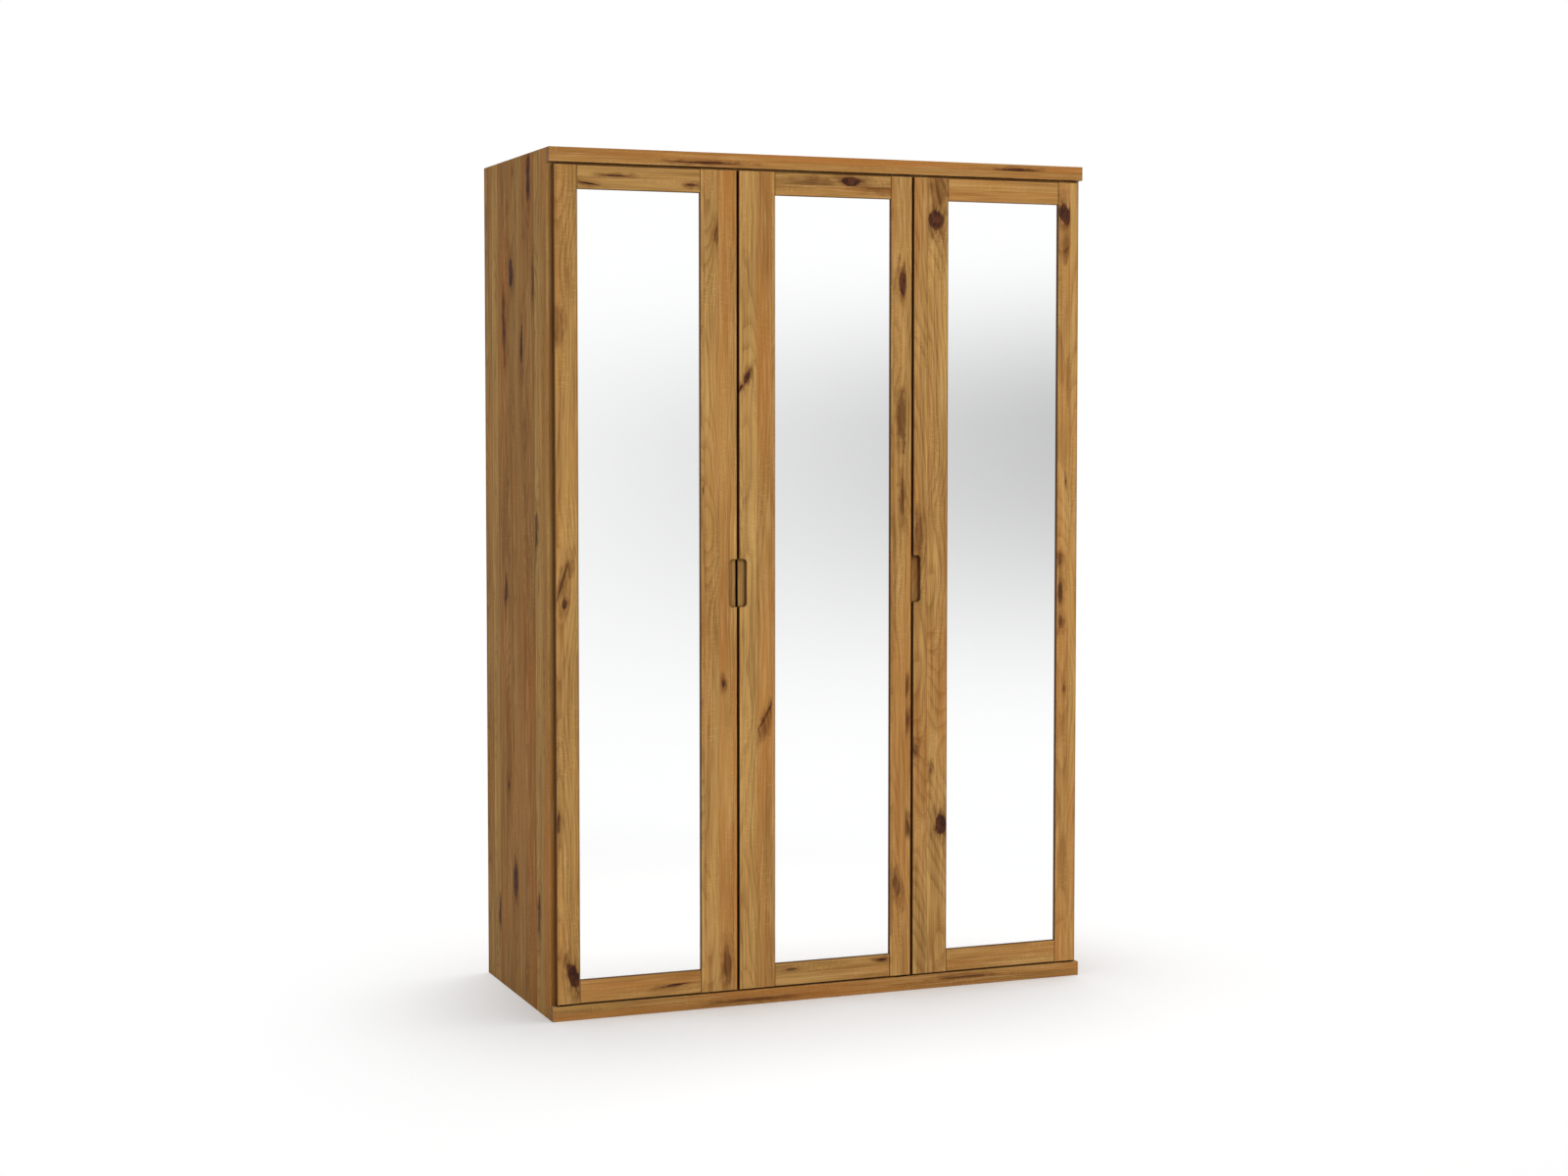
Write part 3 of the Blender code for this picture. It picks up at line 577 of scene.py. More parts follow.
oak_node("side_panel_right", "upright_side", 61.0, joint=0.020, knots=right_knots, **SIDE_WOOD_WITH_PAINTED_SHADE)


# ---- Partition -----------------------------------------------------------------------------------
# An upright panel of the same oak between the hanging space and the shelves. It stands on the bottom panel
# and a runner carries it, and both of its faces have rows of holes for the shelf pins.

oak_node("partition", "upright_side", 33.0, lamella=SIDE_LAMELLA, joint=0.030, spread=0.6)


# ---- Bottom and top panels, and what carries them ------------------------------------------------
# Level panels of glued lamellas, housed in the side panels. A rail behind the plinth and a runner under
# the partition carry the bottom panel, both of plain oak.

LEVEL_LAMELLA = 0.072
oak_node("bottom_panel", "level_flat", 21.0, lamella=LEVEL_LAMELLA, spread=0.6)
oak_node("top_panel", "level_flat", 83.0, lamella=LEVEL_LAMELLA, joint=0.015, spread=0.6)
oak_node("rear_plinth_rail", "level_front", 52.0, tone=-0.05)
oak_node("centre_runner", "upright_side", 27.0, tone=-0.05)


# ---- Back ----------------------------------------------------------------------------------------
# Three panels of 8 mm board with oak veneer, in grooves in the sides. The veneer is laid in leaves of one
# log, so it is calmer and paler than the solid wood. A moulded plastic strip joins the left and middle
# panels.

VENEER = dict(
    lamella=0.160, spread=0.16, tone=0.14, warmth=-0.10, pin_knots=0.10, pith=0.45, ring=0.0036, sway=0.12
)


def veneer_node(name, seed):
    finish_node(name, oak(f"veneer_{name}", *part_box(name), "upright_front", seed, **VENEER))


BACK_PANELS = ("back_panel_left", "back_panel_middle", "back_panel_right")
for number, name in enumerate(BACK_PANELS):
    veneer_node(name, 70.0 + number * 3)

moulded, (place, speckle), put_out = new_group(
    "moulded_plastic", ("Place", "Speckle"), ("Shade", "Roughness", "Height")
)
texture = noise(place, (1500, 1500, 1500), detail=2.0)
flow = noise(place, (30, 30, 8), detail=3.0)
put_out((texture - 0.5) * speckle + flow, flow * 0.16 + texture * 0.10 + 0.30, texture)

brown_plastic, tree, shader = shader_of("brown_plastic_parts")
place = place_on_piece(tree)
shade, roughness, height = use(tree, moulded, place, 0.9)
plug(tree, mixed(shade.rising(0.2, 0.8), srgb(74, 50, 33), srgb(98, 69, 46)), shader.inputs["Base Color"])
plug(tree, roughness, shader.inputs["Roughness"])
raise_surface(tree, shader, height, 0.00012)
finish_node("back_joint_strip", brown_plastic)


# ---- Screws of the back --------------------------------------------------------------------------
# Zinc-plated screws with raised countersunk heads and a cross recess hold each back panel to the edges of
# the bottom and top panels, and the middle and right panels to the partition.

rubbed_steel, (place, brushing), put_out = new_group(
    "rubbed_steel", ("Place", "Brushing"), ("Shade", "Roughness", "Height")
)
lines = noise(stretched(place, brushing), (1, 1, 1), detail=3.0, roughness=0.6)
handling = noise(place, (45, 45, 45), detail=4.0, roughness=0.6)
scratches = noise(place, (900, 60, 900), detail=1.0).rising(0.66, 0.74)
put_out(
    lines * 0.4 + handling * 0.2 - scratches * 0.12 + 0.22,
    lines * 0.12 + handling * 0.12 + scratches * 0.08 + 0.18,
    lines - scratches * 0.4,
)


def steel(name, dark, light, brushing):
    made, tree, shader = shader_of(name, metallic=1.0)
    shade, roughness, height = use(tree, rubbed_steel, place_on_piece(tree), brushing)
    plug(tree, mixed(shade.rising(0.25, 0.75), dark, light), shader.inputs["Base Color"])
    plug(tree, roughness, shader.inputs["Roughness"])
    raise_surface(tree, shader, height, 0.00006)
    return made


ALL_WAYS = (700, 700, 700)
zinc_screws = steel("zinc_plated_screws", srgb(150, 148, 142), srgb(206, 203, 196), ALL_WAYS)


def geometry_tree(name, inputs):
    """A Geometry Nodes tree and its named inputs, with its spots and its material among them."""
    tree = bpy.data.node_groups.new(name, "GeometryNodeTree")
    tree.interface.new_socket("Geometry", in_out="OUTPUT", socket_type="NodeSocketGeometry")
    tree.interface.new_socket("Spots", in_out="INPUT", socket_type="NodeSocketGeometry")
    for label, kind in inputs.items():
        tree.interface.new_socket(label, in_out="INPUT", socket_type=f"NodeSocket{kind}")
    tree.interface.new_socket("Material", in_out="INPUT", socket_type="NodeSocketMaterial")
    given = node(tree, "NodeGroupInput").outputs
    return tree, {label: Reading(tree, given[label]) for label in ("Spots", "Material", *inputs)}


def added(tree, kind, inputs, **settings):
    """A geometry node with its inputs linked or set, and its first output."""
    made = node(tree, kind, **settings)
    for key, value in inputs.items():
        slot = made.inputs[key]
        for each in value if isinstance(value, list) else [value]:
            if isinstance(each, bpy.types.NodeSocket):
                tree.links.new(each, slot)
            elif isinstance(each, Reading):
                tree.links.new(each.socket, slot)
            else:
                slot.default_value = each
    return made.outputs[0]


def vector_of(tree, x=0.0, y=0.0, z=0.0):
    return added(tree, "ShaderNodeCombineXYZ", {"X": x, "Y": y, "Z": z})


def place_on_spots(tree, given, shape, rolled=None):
    """Sets the shape on every spot, its Z along the spot's facing and its Y along the spot's upward."""
    facing = added(tree, "GeometryNodeInputNamedAttribute", {"Name": "facing"}, data_type="FLOAT_VECTOR")
    upward = added(tree, "GeometryNodeInputNamedAttribute", {"Name": "upward"}, data_type="FLOAT_VECTOR")
    turn = added(tree, "FunctionNodeAlignRotationToVector", {"Vector": facing}, axis="Z")
    given_turn = {"Rotation": turn, "Vector": upward}
    turn = added(tree, "FunctionNodeAlignRotationToVector", given_turn, axis="Y", pivot_axis="Z")
    if rolled is not None:
        given_turn = {"Rotation": turn, "Rotate By": rolled}
        turn = added(tree, "FunctionNodeRotateRotation", given_turn, rotation_space="LOCAL")
    on_spots = {"Points": given["Spots"], "Instance": shape, "Rotation": turn}
    copies = added(tree, "GeometryNodeInstanceOnPoints", on_spots)
    real = added(tree, "GeometryNodeRealizeInstances", {"Geometry": copies})
    finished = added(tree, "GeometryNodeSetMaterial", {"Geometry": real, "Material": given["Material"]})
    tree.links.new(finished, node(tree, "NodeGroupOutput").inputs[0])


def repeat(tree, name, spots, body, slot, **sizes):
    """Puts a tree's shape on each spot, (place, facing, upward), as one mesh that rides on the body."""
    start = bpy.data.meshes.new(f"{name}_spots")
    start.from_pydata([spot[0] for spot in spots], [], [])
    for key, way in (("facing", 1), ("upward", 2)):
        stored = start.attributes.new(key, "FLOAT_VECTOR", "POINT")
        for entry, spot in zip(stored.data, spots):
            entry.vector = spot[way]
    piece = bpy.data.objects.new(name, start)
    bpy.context.scene.collection.objects.link(piece)
    modifier = piece.modifiers.new("repeat", "NODES")
    modifier.node_group = tree
    for socket in tree.interface.items_tree:
        key = socket.name.lower().replace(" ", "_")
        if socket.in_out == "INPUT" and key in sizes:
            modifier[socket.identifier] = sizes[key]
    graph = bpy.context.evaluated_depsgraph_get()
    mesh = bpy.data.meshes.new_from_object(piece.evaluated_get(graph))
    piece.modifiers.remove(modifier)
    piece.data = mesh
    bpy.data.meshes.remove(start)
    for key in ("facing", "upward"):
        if key in mesh.attributes:
            mesh.attributes.remove(mesh.attributes[key])
    mesh.name = name
    mesh.shade_smooth()
    mesh.set_sharp_from_angle(angle=radians(35))
    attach(piece, body)
    return piece


screw_sizes = dict.fromkeys(("Head Width", "Crown", "Sink", "Recess"), "Float")
screw_tree, given = geometry_tree("cross_head_screws", {**screw_sizes, "Seed": "Int"})
radius = given["Head Width"] * 0.5
sink, recess = given["Sink"], given["Recess"]
dome = added(screw_tree, "GeometryNodeMeshUVSphere", {"Segments": 20, "Rings": 10, "Radius": 1.0})
dome_size = vector_of(screw_tree, radius, radius, given["Crown"])
dome = added(screw_tree, "GeometryNodeTransform", {"Geometry": dome, "Scale": dome_size})
cone = added(
    screw_tree,
    "GeometryNodeMeshCone",
    {"Vertices": 20, "Radius Top": radius * 0.97, "Radius Bottom": radius * 0.5, "Depth": sink},
)
lowered = vector_of(screw_tree, z=sink * -1.0)
cone = added(screw_tree, "GeometryNodeTransform", {"Geometry": cone, "Translation": lowered})
head = added(
    screw_tree, "GeometryNodeMeshBoolean", {"Mesh 2": [dome, cone]}, operation="UNION", solver="EXACT"
)
arm_width, arm_depth = recess * 0.24, radius * 0.9
arms = [
    added(screw_tree, "GeometryNodeMeshCube", {"Size": vector_of(screw_tree, *size)})
    for size in ((recess, arm_width, arm_depth), (arm_width, recess, arm_depth))
]
head = added(
    screw_tree,
    "GeometryNodeMeshBoolean",
    {"Mesh 1": head, "Mesh 2": arms, "Self Intersection": True},
    operation="DIFFERENCE",
    solver="EXACT",
)
angle = added(
    screw_tree, "FunctionNodeRandomValue", {2: 0.0, 3: pi, "Seed": given["Seed"]}, data_type="FLOAT"
)
angle = next(socket for socket in angle.node.outputs if socket.enabled and socket.type == "VALUE")
place_on_spots(screw_tree, given, head, vector_of(screw_tree, z=angle))


def screws(name, spots, body, head_width, seed, crown=0.0003, sink=0.0016, material=zinc_screws):
    """Sets a screw on each spot, (place, facing): the crown stands over it and the sink lies below it."""
    spots = [(place, facing, Z if abs(facing.z) < 0.5 else X) for place, facing in spots]
    sizes = dict(head_width=head_width, crown=crown, sink=sink, recess=head_width * 0.56)
    repeat(screw_tree, name, spots, body, "steel", seed=seed, material=material, **sizes)


def evenly(low, high, count, margin=0.0):
    """Places from low to high, a margin in from both, with even steps between them."""
    step = (high - low - 2 * margin) / (count - 1)
    return [low + margin + number * step for number in range(count)]


BACK_SCREW_HEAD = 0.0070
BACK_SCREWS_ACROSS, FROM_PANEL_EDGE = 4, 0.040
BACK_SCREWS_UP, FROM_PARTITION_END, FROM_PARTITION_FACE = 7, 0.12, 0.0045
spots = []
for name in BACK_PANELS:
    low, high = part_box(name)
    for level in ("bottom_panel", "top_panel"):
        level_low, level_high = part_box(level)
        for x in evenly(low.x, high.x, BACK_SCREWS_ACROSS, FROM_PANEL_EDGE):
            spots.append((Vector((x, high.y, (level_low.z + level_high.z) / 2)), Y))
low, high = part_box("partition")
back_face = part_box("back_panel_middle")[1].y
for z in evenly(low.z, high.z, BACK_SCREWS_UP, FROM_PARTITION_END):
    for x in evenly(low.x, high.x, 2, FROM_PARTITION_FACE):
        spots.append((Vector((x, back_face, z)), Y))
screws("back_panel_screws", spots, "carcase", BACK_SCREW_HEAD, seed=3)


# ---- Cornice and plinth --------------------------------------------------------------------------
# Two oak strips across the whole front, above and below the doors, screwed on from inside. Their grain
# runs level, and the cornice is a warmer board. Glue blocks hold the cornice to the top panel behind it.

FRONT_PIN_KNOTS = 0.08  # the boards with the fewest knots are kept for the front
cornice_knots = ((0.004, 0.538, 0.0028, 0.040, 0.0), (-0.008, -0.330, 0.002, 0.060, 0.0))
plinth_knots = ((0.004, 0.409, 0.0026, 0.052, 0.0, 0.5), (-0.006, -0.200, 0.002, 0.070, 0.0, 0.4))
for name, seed, tone, warmth, knots in (
    ("cornice_strip", 44.0, -0.04, 0.36, cornice_knots),
    ("plinth_strip", 96.0, -0.10, -0.12, plinth_knots),
):
    oak_node(name, "level_front", seed, tone=tone, warmth=warmth, pin_knots=FRONT_PIN_KNOTS, knots=knots)

BLOCKS, FROM_CORNICE_END = 5, 0.12
BLOCK_LENGTH, BLOCK_SIDE, BLOCK_BEVEL = 0.060, 0.020, 0.0008
GLUE_GAP = 0.0003
cornice_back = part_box("cornice_strip")[1].y + GLUE_GAP
top_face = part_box("top_panel")[1].z + GLUE_GAP
shape = bmesh.new()
for x in evenly(cad_low.x, cad_high.x, BLOCKS, FROM_CORNICE_END):
    ends = []
    for end in (x - BLOCK_LENGTH / 2, x + BLOCK_LENGTH / 2):
        corners = ((0, 0), (BLOCK_SIDE, 0), (0, BLOCK_SIDE))
        ends.append([shape.verts.new((end, cornice_back + y, top_face + z)) for y, z in corners])
    shape.faces.new(reversed(ends[0]))
    shape.faces.new(ends[1])
    for first, second in ((0, 1), (1, 2), (2, 0)):
        shape.faces.new((ends[0][first], ends[0][second], ends[1][second], ends[1][first]))
bmesh.ops.recalc_face_normals(shape, faces=shape.faces)


def ease(shape, edges, width, steps=2):
    """Rounds the edges of a shape over this width."""
    bmesh.ops.bevel(shape, geom=list(edges), offset=width, segments=steps, profile=0.5, affect="EDGES")


def piece_of(name, shape, material, body):
    """Turns the worked shape into a piece of the wardrobe."""
    mesh = bpy.data.meshes.new(name)
    shape.to_mesh(mesh)
    shape.free()
    mesh.materials.append(material)
    piece = bpy.data.objects.new(name, mesh)
    bpy.context.scene.collection.objects.link(piece)
    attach(piece, body)
    return piece


ease(shape, shape.edges, BLOCK_BEVEL)
ends = [Vector((x, cornice_back, top_face)) for x in (cad_low.x, cad_high.x)]
block_oak = oak("oak_glue_blocks", *ends, "level_front", 17.0, tone=-0.08, pin_knots=0.0)
piece_of("cornice_glue_blocks", shape, block_oak, "carcase")


# ---- Shelves -------------------------------------------------------------------------------------
# Five loose shelves beside the partition and a hat shelf over the hanging space, all of level lamellas
# with eased edges. Each rests on four pins.

SHELVES = [f"shelf_{number}" for number in range(1, 6)]
for number, name in enumerate(SHELVES + ["hat_shelf"]):
    wood = dict(lamella=LEVEL_LAMELLA, joint=0.007 * number, spread=0.5, tone=0.03)
    oak_node(name, "level_flat", 101.0 + number * 5.7, **wood)


# ---- Shelf pins ----------------------------------------------------------------------------------
# Nickel-plated supports: a 5 mm pin in the panel's hole, a plate against the panel, and a rounded tongue
# that the shelf lies on.

NICKEL_DARK, NICKEL_LIGHT = srgb(158, 156, 150), srgb(214, 211, 204)
nickel_pins = steel("nickel_plated_pins", NICKEL_DARK, NICKEL_LIGHT, ALL_WAYS)


def rounded_plate(tree, width, height, corner, thickness):
    """A flat plate with round corners, its lower face at zero."""
    outline = added(tree, "GeometryNodeCurvePrimitiveQuadrilateral", {"Width": width, "Height": height})
    rounding = {"Curve": outline, "Count": 5, "Radius": corner, "Limit Radius": True}
    outline = added(tree, "GeometryNodeFilletCurve", rounding, mode="POLY")
    face = added(tree, "GeometryNodeFillCurve", {"Curve": outline}, mode="NGONS")
    rise = {"Mesh": face, "Offset Scale": thickness, "Individual": False}
    walls = added(tree, "GeometryNodeExtrudeMesh", rise)
    underside = added(tree, "GeometryNodeFlipFaces", {"Mesh": face})
    whole = added(tree, "GeometryNodeJoinGeometry", {"Geometry": [walls, underside]})
    return added(tree, "GeometryNodeMergeByDistance", {"Geometry": whole, "Distance": 0.00001})


def moved(tree, shape, translation=(0, 0, 0), rotation=(0, 0, 0)):
    place = {"Geometry": shape, "Translation": translation, "Rotation": rotation}
    return added(tree, "GeometryNodeTransform", place)


pin_sizes = ("Pin Width", "Pin Depth", "Plate Width", "Plate Height", "Tongue", "Thickness")
pin_tree, given = geometry_tree("shelf_pins", dict.fromkeys(pin_sizes, "Float"))
pin_radius, pin_depth = given["Pin Width"] * 0.5, given["Pin Depth"]
plate_width, plate_height = given["Plate Width"], given["Plate Height"]
tongue, thickness = given["Tongue"], given["Thickness"]
shank_size = {"Vertices": 20, "Radius": pin_radius, "Depth": pin_depth}
shank = added(pin_tree, "GeometryNodeMeshCylinder", shank_size)
shank = moved(pin_tree, shank, vector_of(pin_tree, z=pin_depth * -0.5))
plate = rounded_plate(pin_tree, plate_width, plate_height, 0.0025, thickness)
plate = moved(pin_tree, plate, vector_of(pin_tree, y=pin_radius - plate_height * 0.5))
shelf_tongue = rounded_plate(pin_tree, plate_width, tongue, 0.003, thickness)
under_shelf = vector_of(pin_tree, y=pin_radius, z=tongue * 0.5)
shelf_tongue = moved(pin_tree, shelf_tongue, under_shelf, (radians(90), 0, 0))
whole = added(pin_tree, "GeometryNodeJoinGeometry", {"Geometry": [shank, plate, shelf_tongue]})
place_on_spots(pin_tree, given, whole)

PIN_WIDTH = 0.0048
PIN_ROWS = (-0.2042, 0.2277)  # the rows of holes near the panels' front and back
UNDER_SHELF = 0.0002
spots = []
for name in SHELVES + ["hat_shelf"]:
    low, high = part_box(name)
    walls = ("side_panel_left", "partition") if name == "hat_shelf" else ("partition", "side_panel_right")
    left_wall, right_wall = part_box(walls[0])[1].x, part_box(walls[1])[0].x
    z = low.z - PIN_WIDTH / 2 - UNDER_SHELF
    for y in PIN_ROWS:
        spots.append((Vector((left_wall, y, z)), X, Z))
        spots.append((Vector((right_wall, y, z)), -X, Z))
sizes = dict(pin_width=PIN_WIDTH, pin_depth=0.0090, plate_width=0.0110, plate_height=0.0140)
sizes.update(tongue=0.0090, thickness=0.0012)
repeat(pin_tree, "shelf_pins", spots, "carcase", "steel", material=nickel_pins, **sizes)


# ---- Hanging rail --------------------------------------------------------------------------------
# An oval tube of satin nickel steel, in two flanged brackets. Each bracket is screwed to its panel above
# and below the tube.

satin_rail = steel("satin_nickel_rail", NICKEL_DARK, NICKEL_LIGHT, (12, 900, 900))
for name in ("hanging_rail", "rail_bracket_left", "rail_bracket_right"):
    finish_node(name, satin_rail)

FLANGE_THICKNESS = 0.003
BRACKET_SCREW_HEAD, BRACKET_SCREW_FROM_END = 0.0048, 0.0036
spots = []
for name, inward in (("rail_bracket_left", X), ("rail_bracket_right", -X)):
    low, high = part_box(name)
    x = low.x + FLANGE_THICKNESS if inward.x > 0 else high.x - FLANGE_THICKNESS
    for z in (low.z + BRACKET_SCREW_FROM_END, high.z - BRACKET_SCREW_FROM_END):
        spots.append((Vector((x, (low.y + high.y) / 2, z)), inward))
screws("rail_bracket_screws", spots, "carcase", BRACKET_SCREW_HEAD, seed=8)


# ---- Door frames ---------------------------------------------------------------------------------
# Each door is a frame of solid oak: a narrow stile on the hinge side, a wide one with the milled finger
# pull, and two rails tenoned between them. The wide stiles are glued from two lamellas.

# The finger pull's milled pocket gets painted shade: its floor is darkened, and its rim most, standing in
# for the shade inside the recess.
PULL_MIDDLE, PULL_WIDTH, PULL_HEIGHT, PULL_CORNER = 0.0005, 0.020, 0.120, 0.009
finger_pull_shade, (board, edge), put_out = new_group("oak_finger_pull", ("Board", "Edge Across"), ("Dark",))
across, through, along = split(board)
aside = (across - edge).math("ABSOLUTE") - (PULL_WIDTH - PULL_CORNER)
rise = (along - PULL_MIDDLE).math("ABSOLUTE") - (PULL_HEIGHT / 2 - PULL_CORNER)
aside_squared, rise_squared = (past.math("MAXIMUM", 0.0).math("POWER", 2.0) for past in (aside, rise))
round_corner = (aside_squared + rise_squared).math("SQRT")
past_rim = round_corner + aside.math("MAXIMUM", rise).math("MINIMUM", 0.0) - PULL_CORNER
# Painted shade: a dark line round the pocket's rim and a darker floor inside it.
painted_rim_shade = past_rim.math("ABSOLUTE").rising(0.0028, 0.0009)
painted_pocket_shade = past_rim.rising(0.0005, -0.0005) * 0.50
put_out(painted_rim_shade.math("MAXIMUM", painted_pocket_shade) * through.math("LESS_THAN", 0.005))

STILES = {
    "left_door_hinge_stile": dict(
        seed=5.0, lamella=0.090, joint=-0.045, tone=-0.03, warmth=0.02,
        knots=(
            (-0.012, 0.015, 0.003, 0.030, -0.30, 0.8),
            (-0.004, 0.020, 0.009, 0.030, -0.20, 0.0),
            (-0.007, -0.041, 0.006, 0.011, 0.0, 0.9),
            (0.0115, -0.966, 0.0125, 0.028, 0.25),
            (-0.020, 0.640, 0.009, 0.024, 0.0, 0.0),
        ),
    ),
    "left_door_handle_stile": dict(
        seed=9.0, lamella=0.049, tone=0.03, tone_step=-0.05, warmth=0.05, warmth_step=0.15,
        pith=0.07, sway=0.7,
        knots=(
            (0.012, -0.252, 0.004, 0.009, 0.0, 0.8),
            (0.022, -0.971, 0.009, 0.030, 0.0, 0.35),
            (-0.004, 0.880, 0.005, 0.014, 0.0, 0.3),
        ),
    ),
    "middle_door_handle_stile": dict(
        seed=38.0, lamella=0.049, tone=0.06, tone_step=-0.20, warmth=-0.05, warmth_step=0.35,
        knots=(
            (-0.028, 0.518, 0.006, 0.015, -0.35),
            (-0.040, 0.500, 0.003, 0.018, -0.6),
            (0.026, -0.335, 0.003, 0.034, -0.55, 0.8),
            (0.030, -0.345, 0.009, 0.028, -0.45, 0.0),
        ),
    ),
    "middle_door_hinge_stile": dict(
        seed=47.0, lamella=0.045, joint=0.0145, tone=-0.02, warmth=0.05,
        knots=(
            (0.004, 0.765, 0.009, 0.026, 0.05, 0.9),
            (0.003, 0.420, 0.010, 0.050, 0.0, 0.25),
            (0.003, 0.200, 0.006, 0.040, 0.0, 0.4),
            (0.016, -0.281, 0.005, 0.018, 0.0, 0.4),
            (0.016, -0.365, 0.006, 0.014, 0.0, 0.5),
            (0.018, -0.648, 0.007, 0.018, 0.0, 0.45),
            (-0.010, -0.802, 0.010, 0.024, 0.2, 0.4),
        ),
    ),
    "right_door_handle_stile": dict(
        seed=56.0, lamella=0.078, joint=-0.009, tone=0.0, tone_step=0.10, warmth=0.05, warmth_step=-0.15,
        pith=0.055, sway=0.8,
        knots=(
            (0.0140, 0.930, 0.0190, 0.022, 0.0),
            (0.020, 1.010, 0.014, 0.030, 0.0, 0.0),
            (-0.031, 0.110, 0.010, 0.034, 0.0, 0.15),
            (-0.040, -0.446, 0.006, 0.014, 0.0, 0.4),
            (0.002, -0.502, 0.003, 0.006, 0.0, 0.5),
            (0.031, -0.647, 0.0140, 0.025, 0.0),
        ),
    ),
    "right_door_hinge_stile": dict(
        seed=68.0, lamella=0.045, joint=0.006, tone=0.04, tone_step=0.10, warmth=0.05, warmth_step=-0.1,
        knots=(
            (-0.010, 0.955, 0.0145, 0.023, 0.25),
            (-0.008, 0.870, 0.006, 0.020, 0.0, 0.1),
            (-0.018, -0.044, 0.006, 0.024, 0.0, 0.8),
            (-0.020, 0.039, 0.005, 0.010, 0.0, 0.6),
            (-0.017, -0.120, 0.005, 0.014, 0.0, 0.6),
        ),
    ),
}
DOORS = ("left_door", "middle_door", "right_door")
# The frames get a painted shade line along their sides, standing in for the shadow in the door gaps and at
# the mirrors' edges.
FRAME_WOOD = dict(pin_knots=FRONT_PIN_KNOTS, painted_edge_shade=1.4)
for name, wood in STILES.items():
    low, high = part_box(name)
    mirror_low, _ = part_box(name.split("_door_")[0] + "_door_mirror")
    wood = {"spread": 0.15, "sway": 0.5, **FRAME_WOOD, **wood}
    if "handle" in name:
        outward = -1 if low.x < mirror_low.x else 1
        wood["pull_edge"] = outward * (high.x - low.x) / 2
    oak_node(name, "upright_front", **wood)

RAILS = {
    "left_door_top_rail": dict(
        seed=12.0, tone=0.05, warmth=-0.15,
        knots=((-0.015, -0.134, 0.002, 0.022, 0.1), (0.006, -0.060, 0.002, 0.024, 0.0),
               (-0.010, 0.136, 0.003, 0.010, 0.0)),
    ),
    "left_door_bottom_rail": dict(
        seed=16.0, tone=-0.05, warmth=0.10, knots=((-0.003, 0.092, 0.003, 0.026, -0.1),),
    ),
    "middle_door_top_rail": dict(
        seed=23.0, tone=-0.10, warmth=0.05,
        knots=((0.012, 0.048, 0.010, 0.022, 0.0), (0.004, -0.060, 0.008, 0.034, 0.0, 0.2),
               (-0.002, 0.120, 0.006, 0.030, 0.0, 0.1)),
    ),
    "middle_door_bottom_rail": dict(
        seed=29.0, tone=-0.06, warmth=0.0, knots=((0.016, 0.137, 0.003, 0.010, 0.0),),
    ),
    "right_door_top_rail": dict(seed=35.0, tone=0.0, warmth=0.15),
    "right_door_bottom_rail": dict(seed=41.0, tone=0.04, warmth=0.05),
}
for name, wood in RAILS.items():
    oak_node(name, "level_front", spread=0.1, pith=0.07, **FRAME_WOOD, **wood)


# ---- Mirrors -------------------------------------------------------------------------------------
# A 4 mm silvered mirror of float glass lies in each frame's rebate. Its face is clean, with the faintest
# haze.

mirror_glass, tree, shader = shader_of("silvered_mirror", metallic=1.0)
place = place_on_piece(tree)
haze = noise(place, (6, 6, 3), detail=3.0)
plug(tree, mixed(haze, (0.985, 0.992, 0.990, 1), (0.995, 1.0, 0.998, 1)), shader.inputs["Base Color"])
plug(tree, haze.rising(0.3, 0.8) * 0.018 + 0.004, shader.inputs["Roughness"])
for door in DOORS:
    finish_node(f"{door}_mirror", mirror_glass)


# ---- Mirror backings and their clips -------------------------------------------------------------
# A veneered board closes each door behind the mirror. Small turned clips of zinc-plated steel, each with
# one pan-head screw in the frame, hold the board and the mirror in the rebate.

for number, door in enumerate(DOORS):
    veneer_node(f"{door}_backing", 80.0 + number * 4)

clip_sizes = ("Clip Width", "Clip Length", "Corner", "Thickness")
clip_tree, given = geometry_tree("mirror_clips", dict.fromkeys(clip_sizes, "Float"))
clip = rounded_plate(clip_tree, *(given[size] for size in clip_sizes))
place_on_spots(clip_tree, given, clip)

clip_steel = steel("zinc_plated_clips", srgb(160, 158, 150), srgb(212, 209, 200), ALL_WAYS)
CLIP_WIDTH, CLIP_LENGTH, CLIP_THICKNESS = 0.009, 0.020, 0.0007
CLIPS_UP, FROM_BOARD_END = 5, 0.14
CLIPS_ACROSS, FROM_BOARD_SIDE = 2, 0.09
CLIP_SCREW_OUT = 0.0045
PAN_HEAD = dict(head_width=0.0058, crown=0.0006, sink=0.0012)
clip_plate = dict(
    clip_width=CLIP_WIDTH, clip_length=CLIP_LENGTH, corner=CLIP_WIDTH * 0.49, thickness=CLIP_THICKNESS
)
for number, door in enumerate(DOORS):
    low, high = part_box(f"{door}_backing")
    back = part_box(f"{door}_hinge_stile")[1].y + 0.0001
    clips, heads = [], []
    edges = [(Vector((x, back, z)), out) for x, out in ((low.x, -X), (high.x, X))
             for z in evenly(low.z, high.z, CLIPS_UP, FROM_BOARD_END)]
    edges += [(Vector((x, back, z)), out) for z, out in ((low.z, -Z), (high.z, Z))
              for x in evenly(low.x, high.x, CLIPS_ACROSS, FROM_BOARD_SIDE)]
    for place, out in edges:
        clips.append((place, Y, out))
        heads.append((place + out * CLIP_SCREW_OUT + Y * CLIP_THICKNESS, Y))
    repeat(clip_tree, f"{door}_mirror_clips", clips, door, "steel", material=clip_steel, **clip_plate)
    screws(f"{door}_clip_screws", heads, door, seed=20 + number, **PAN_HEAD)


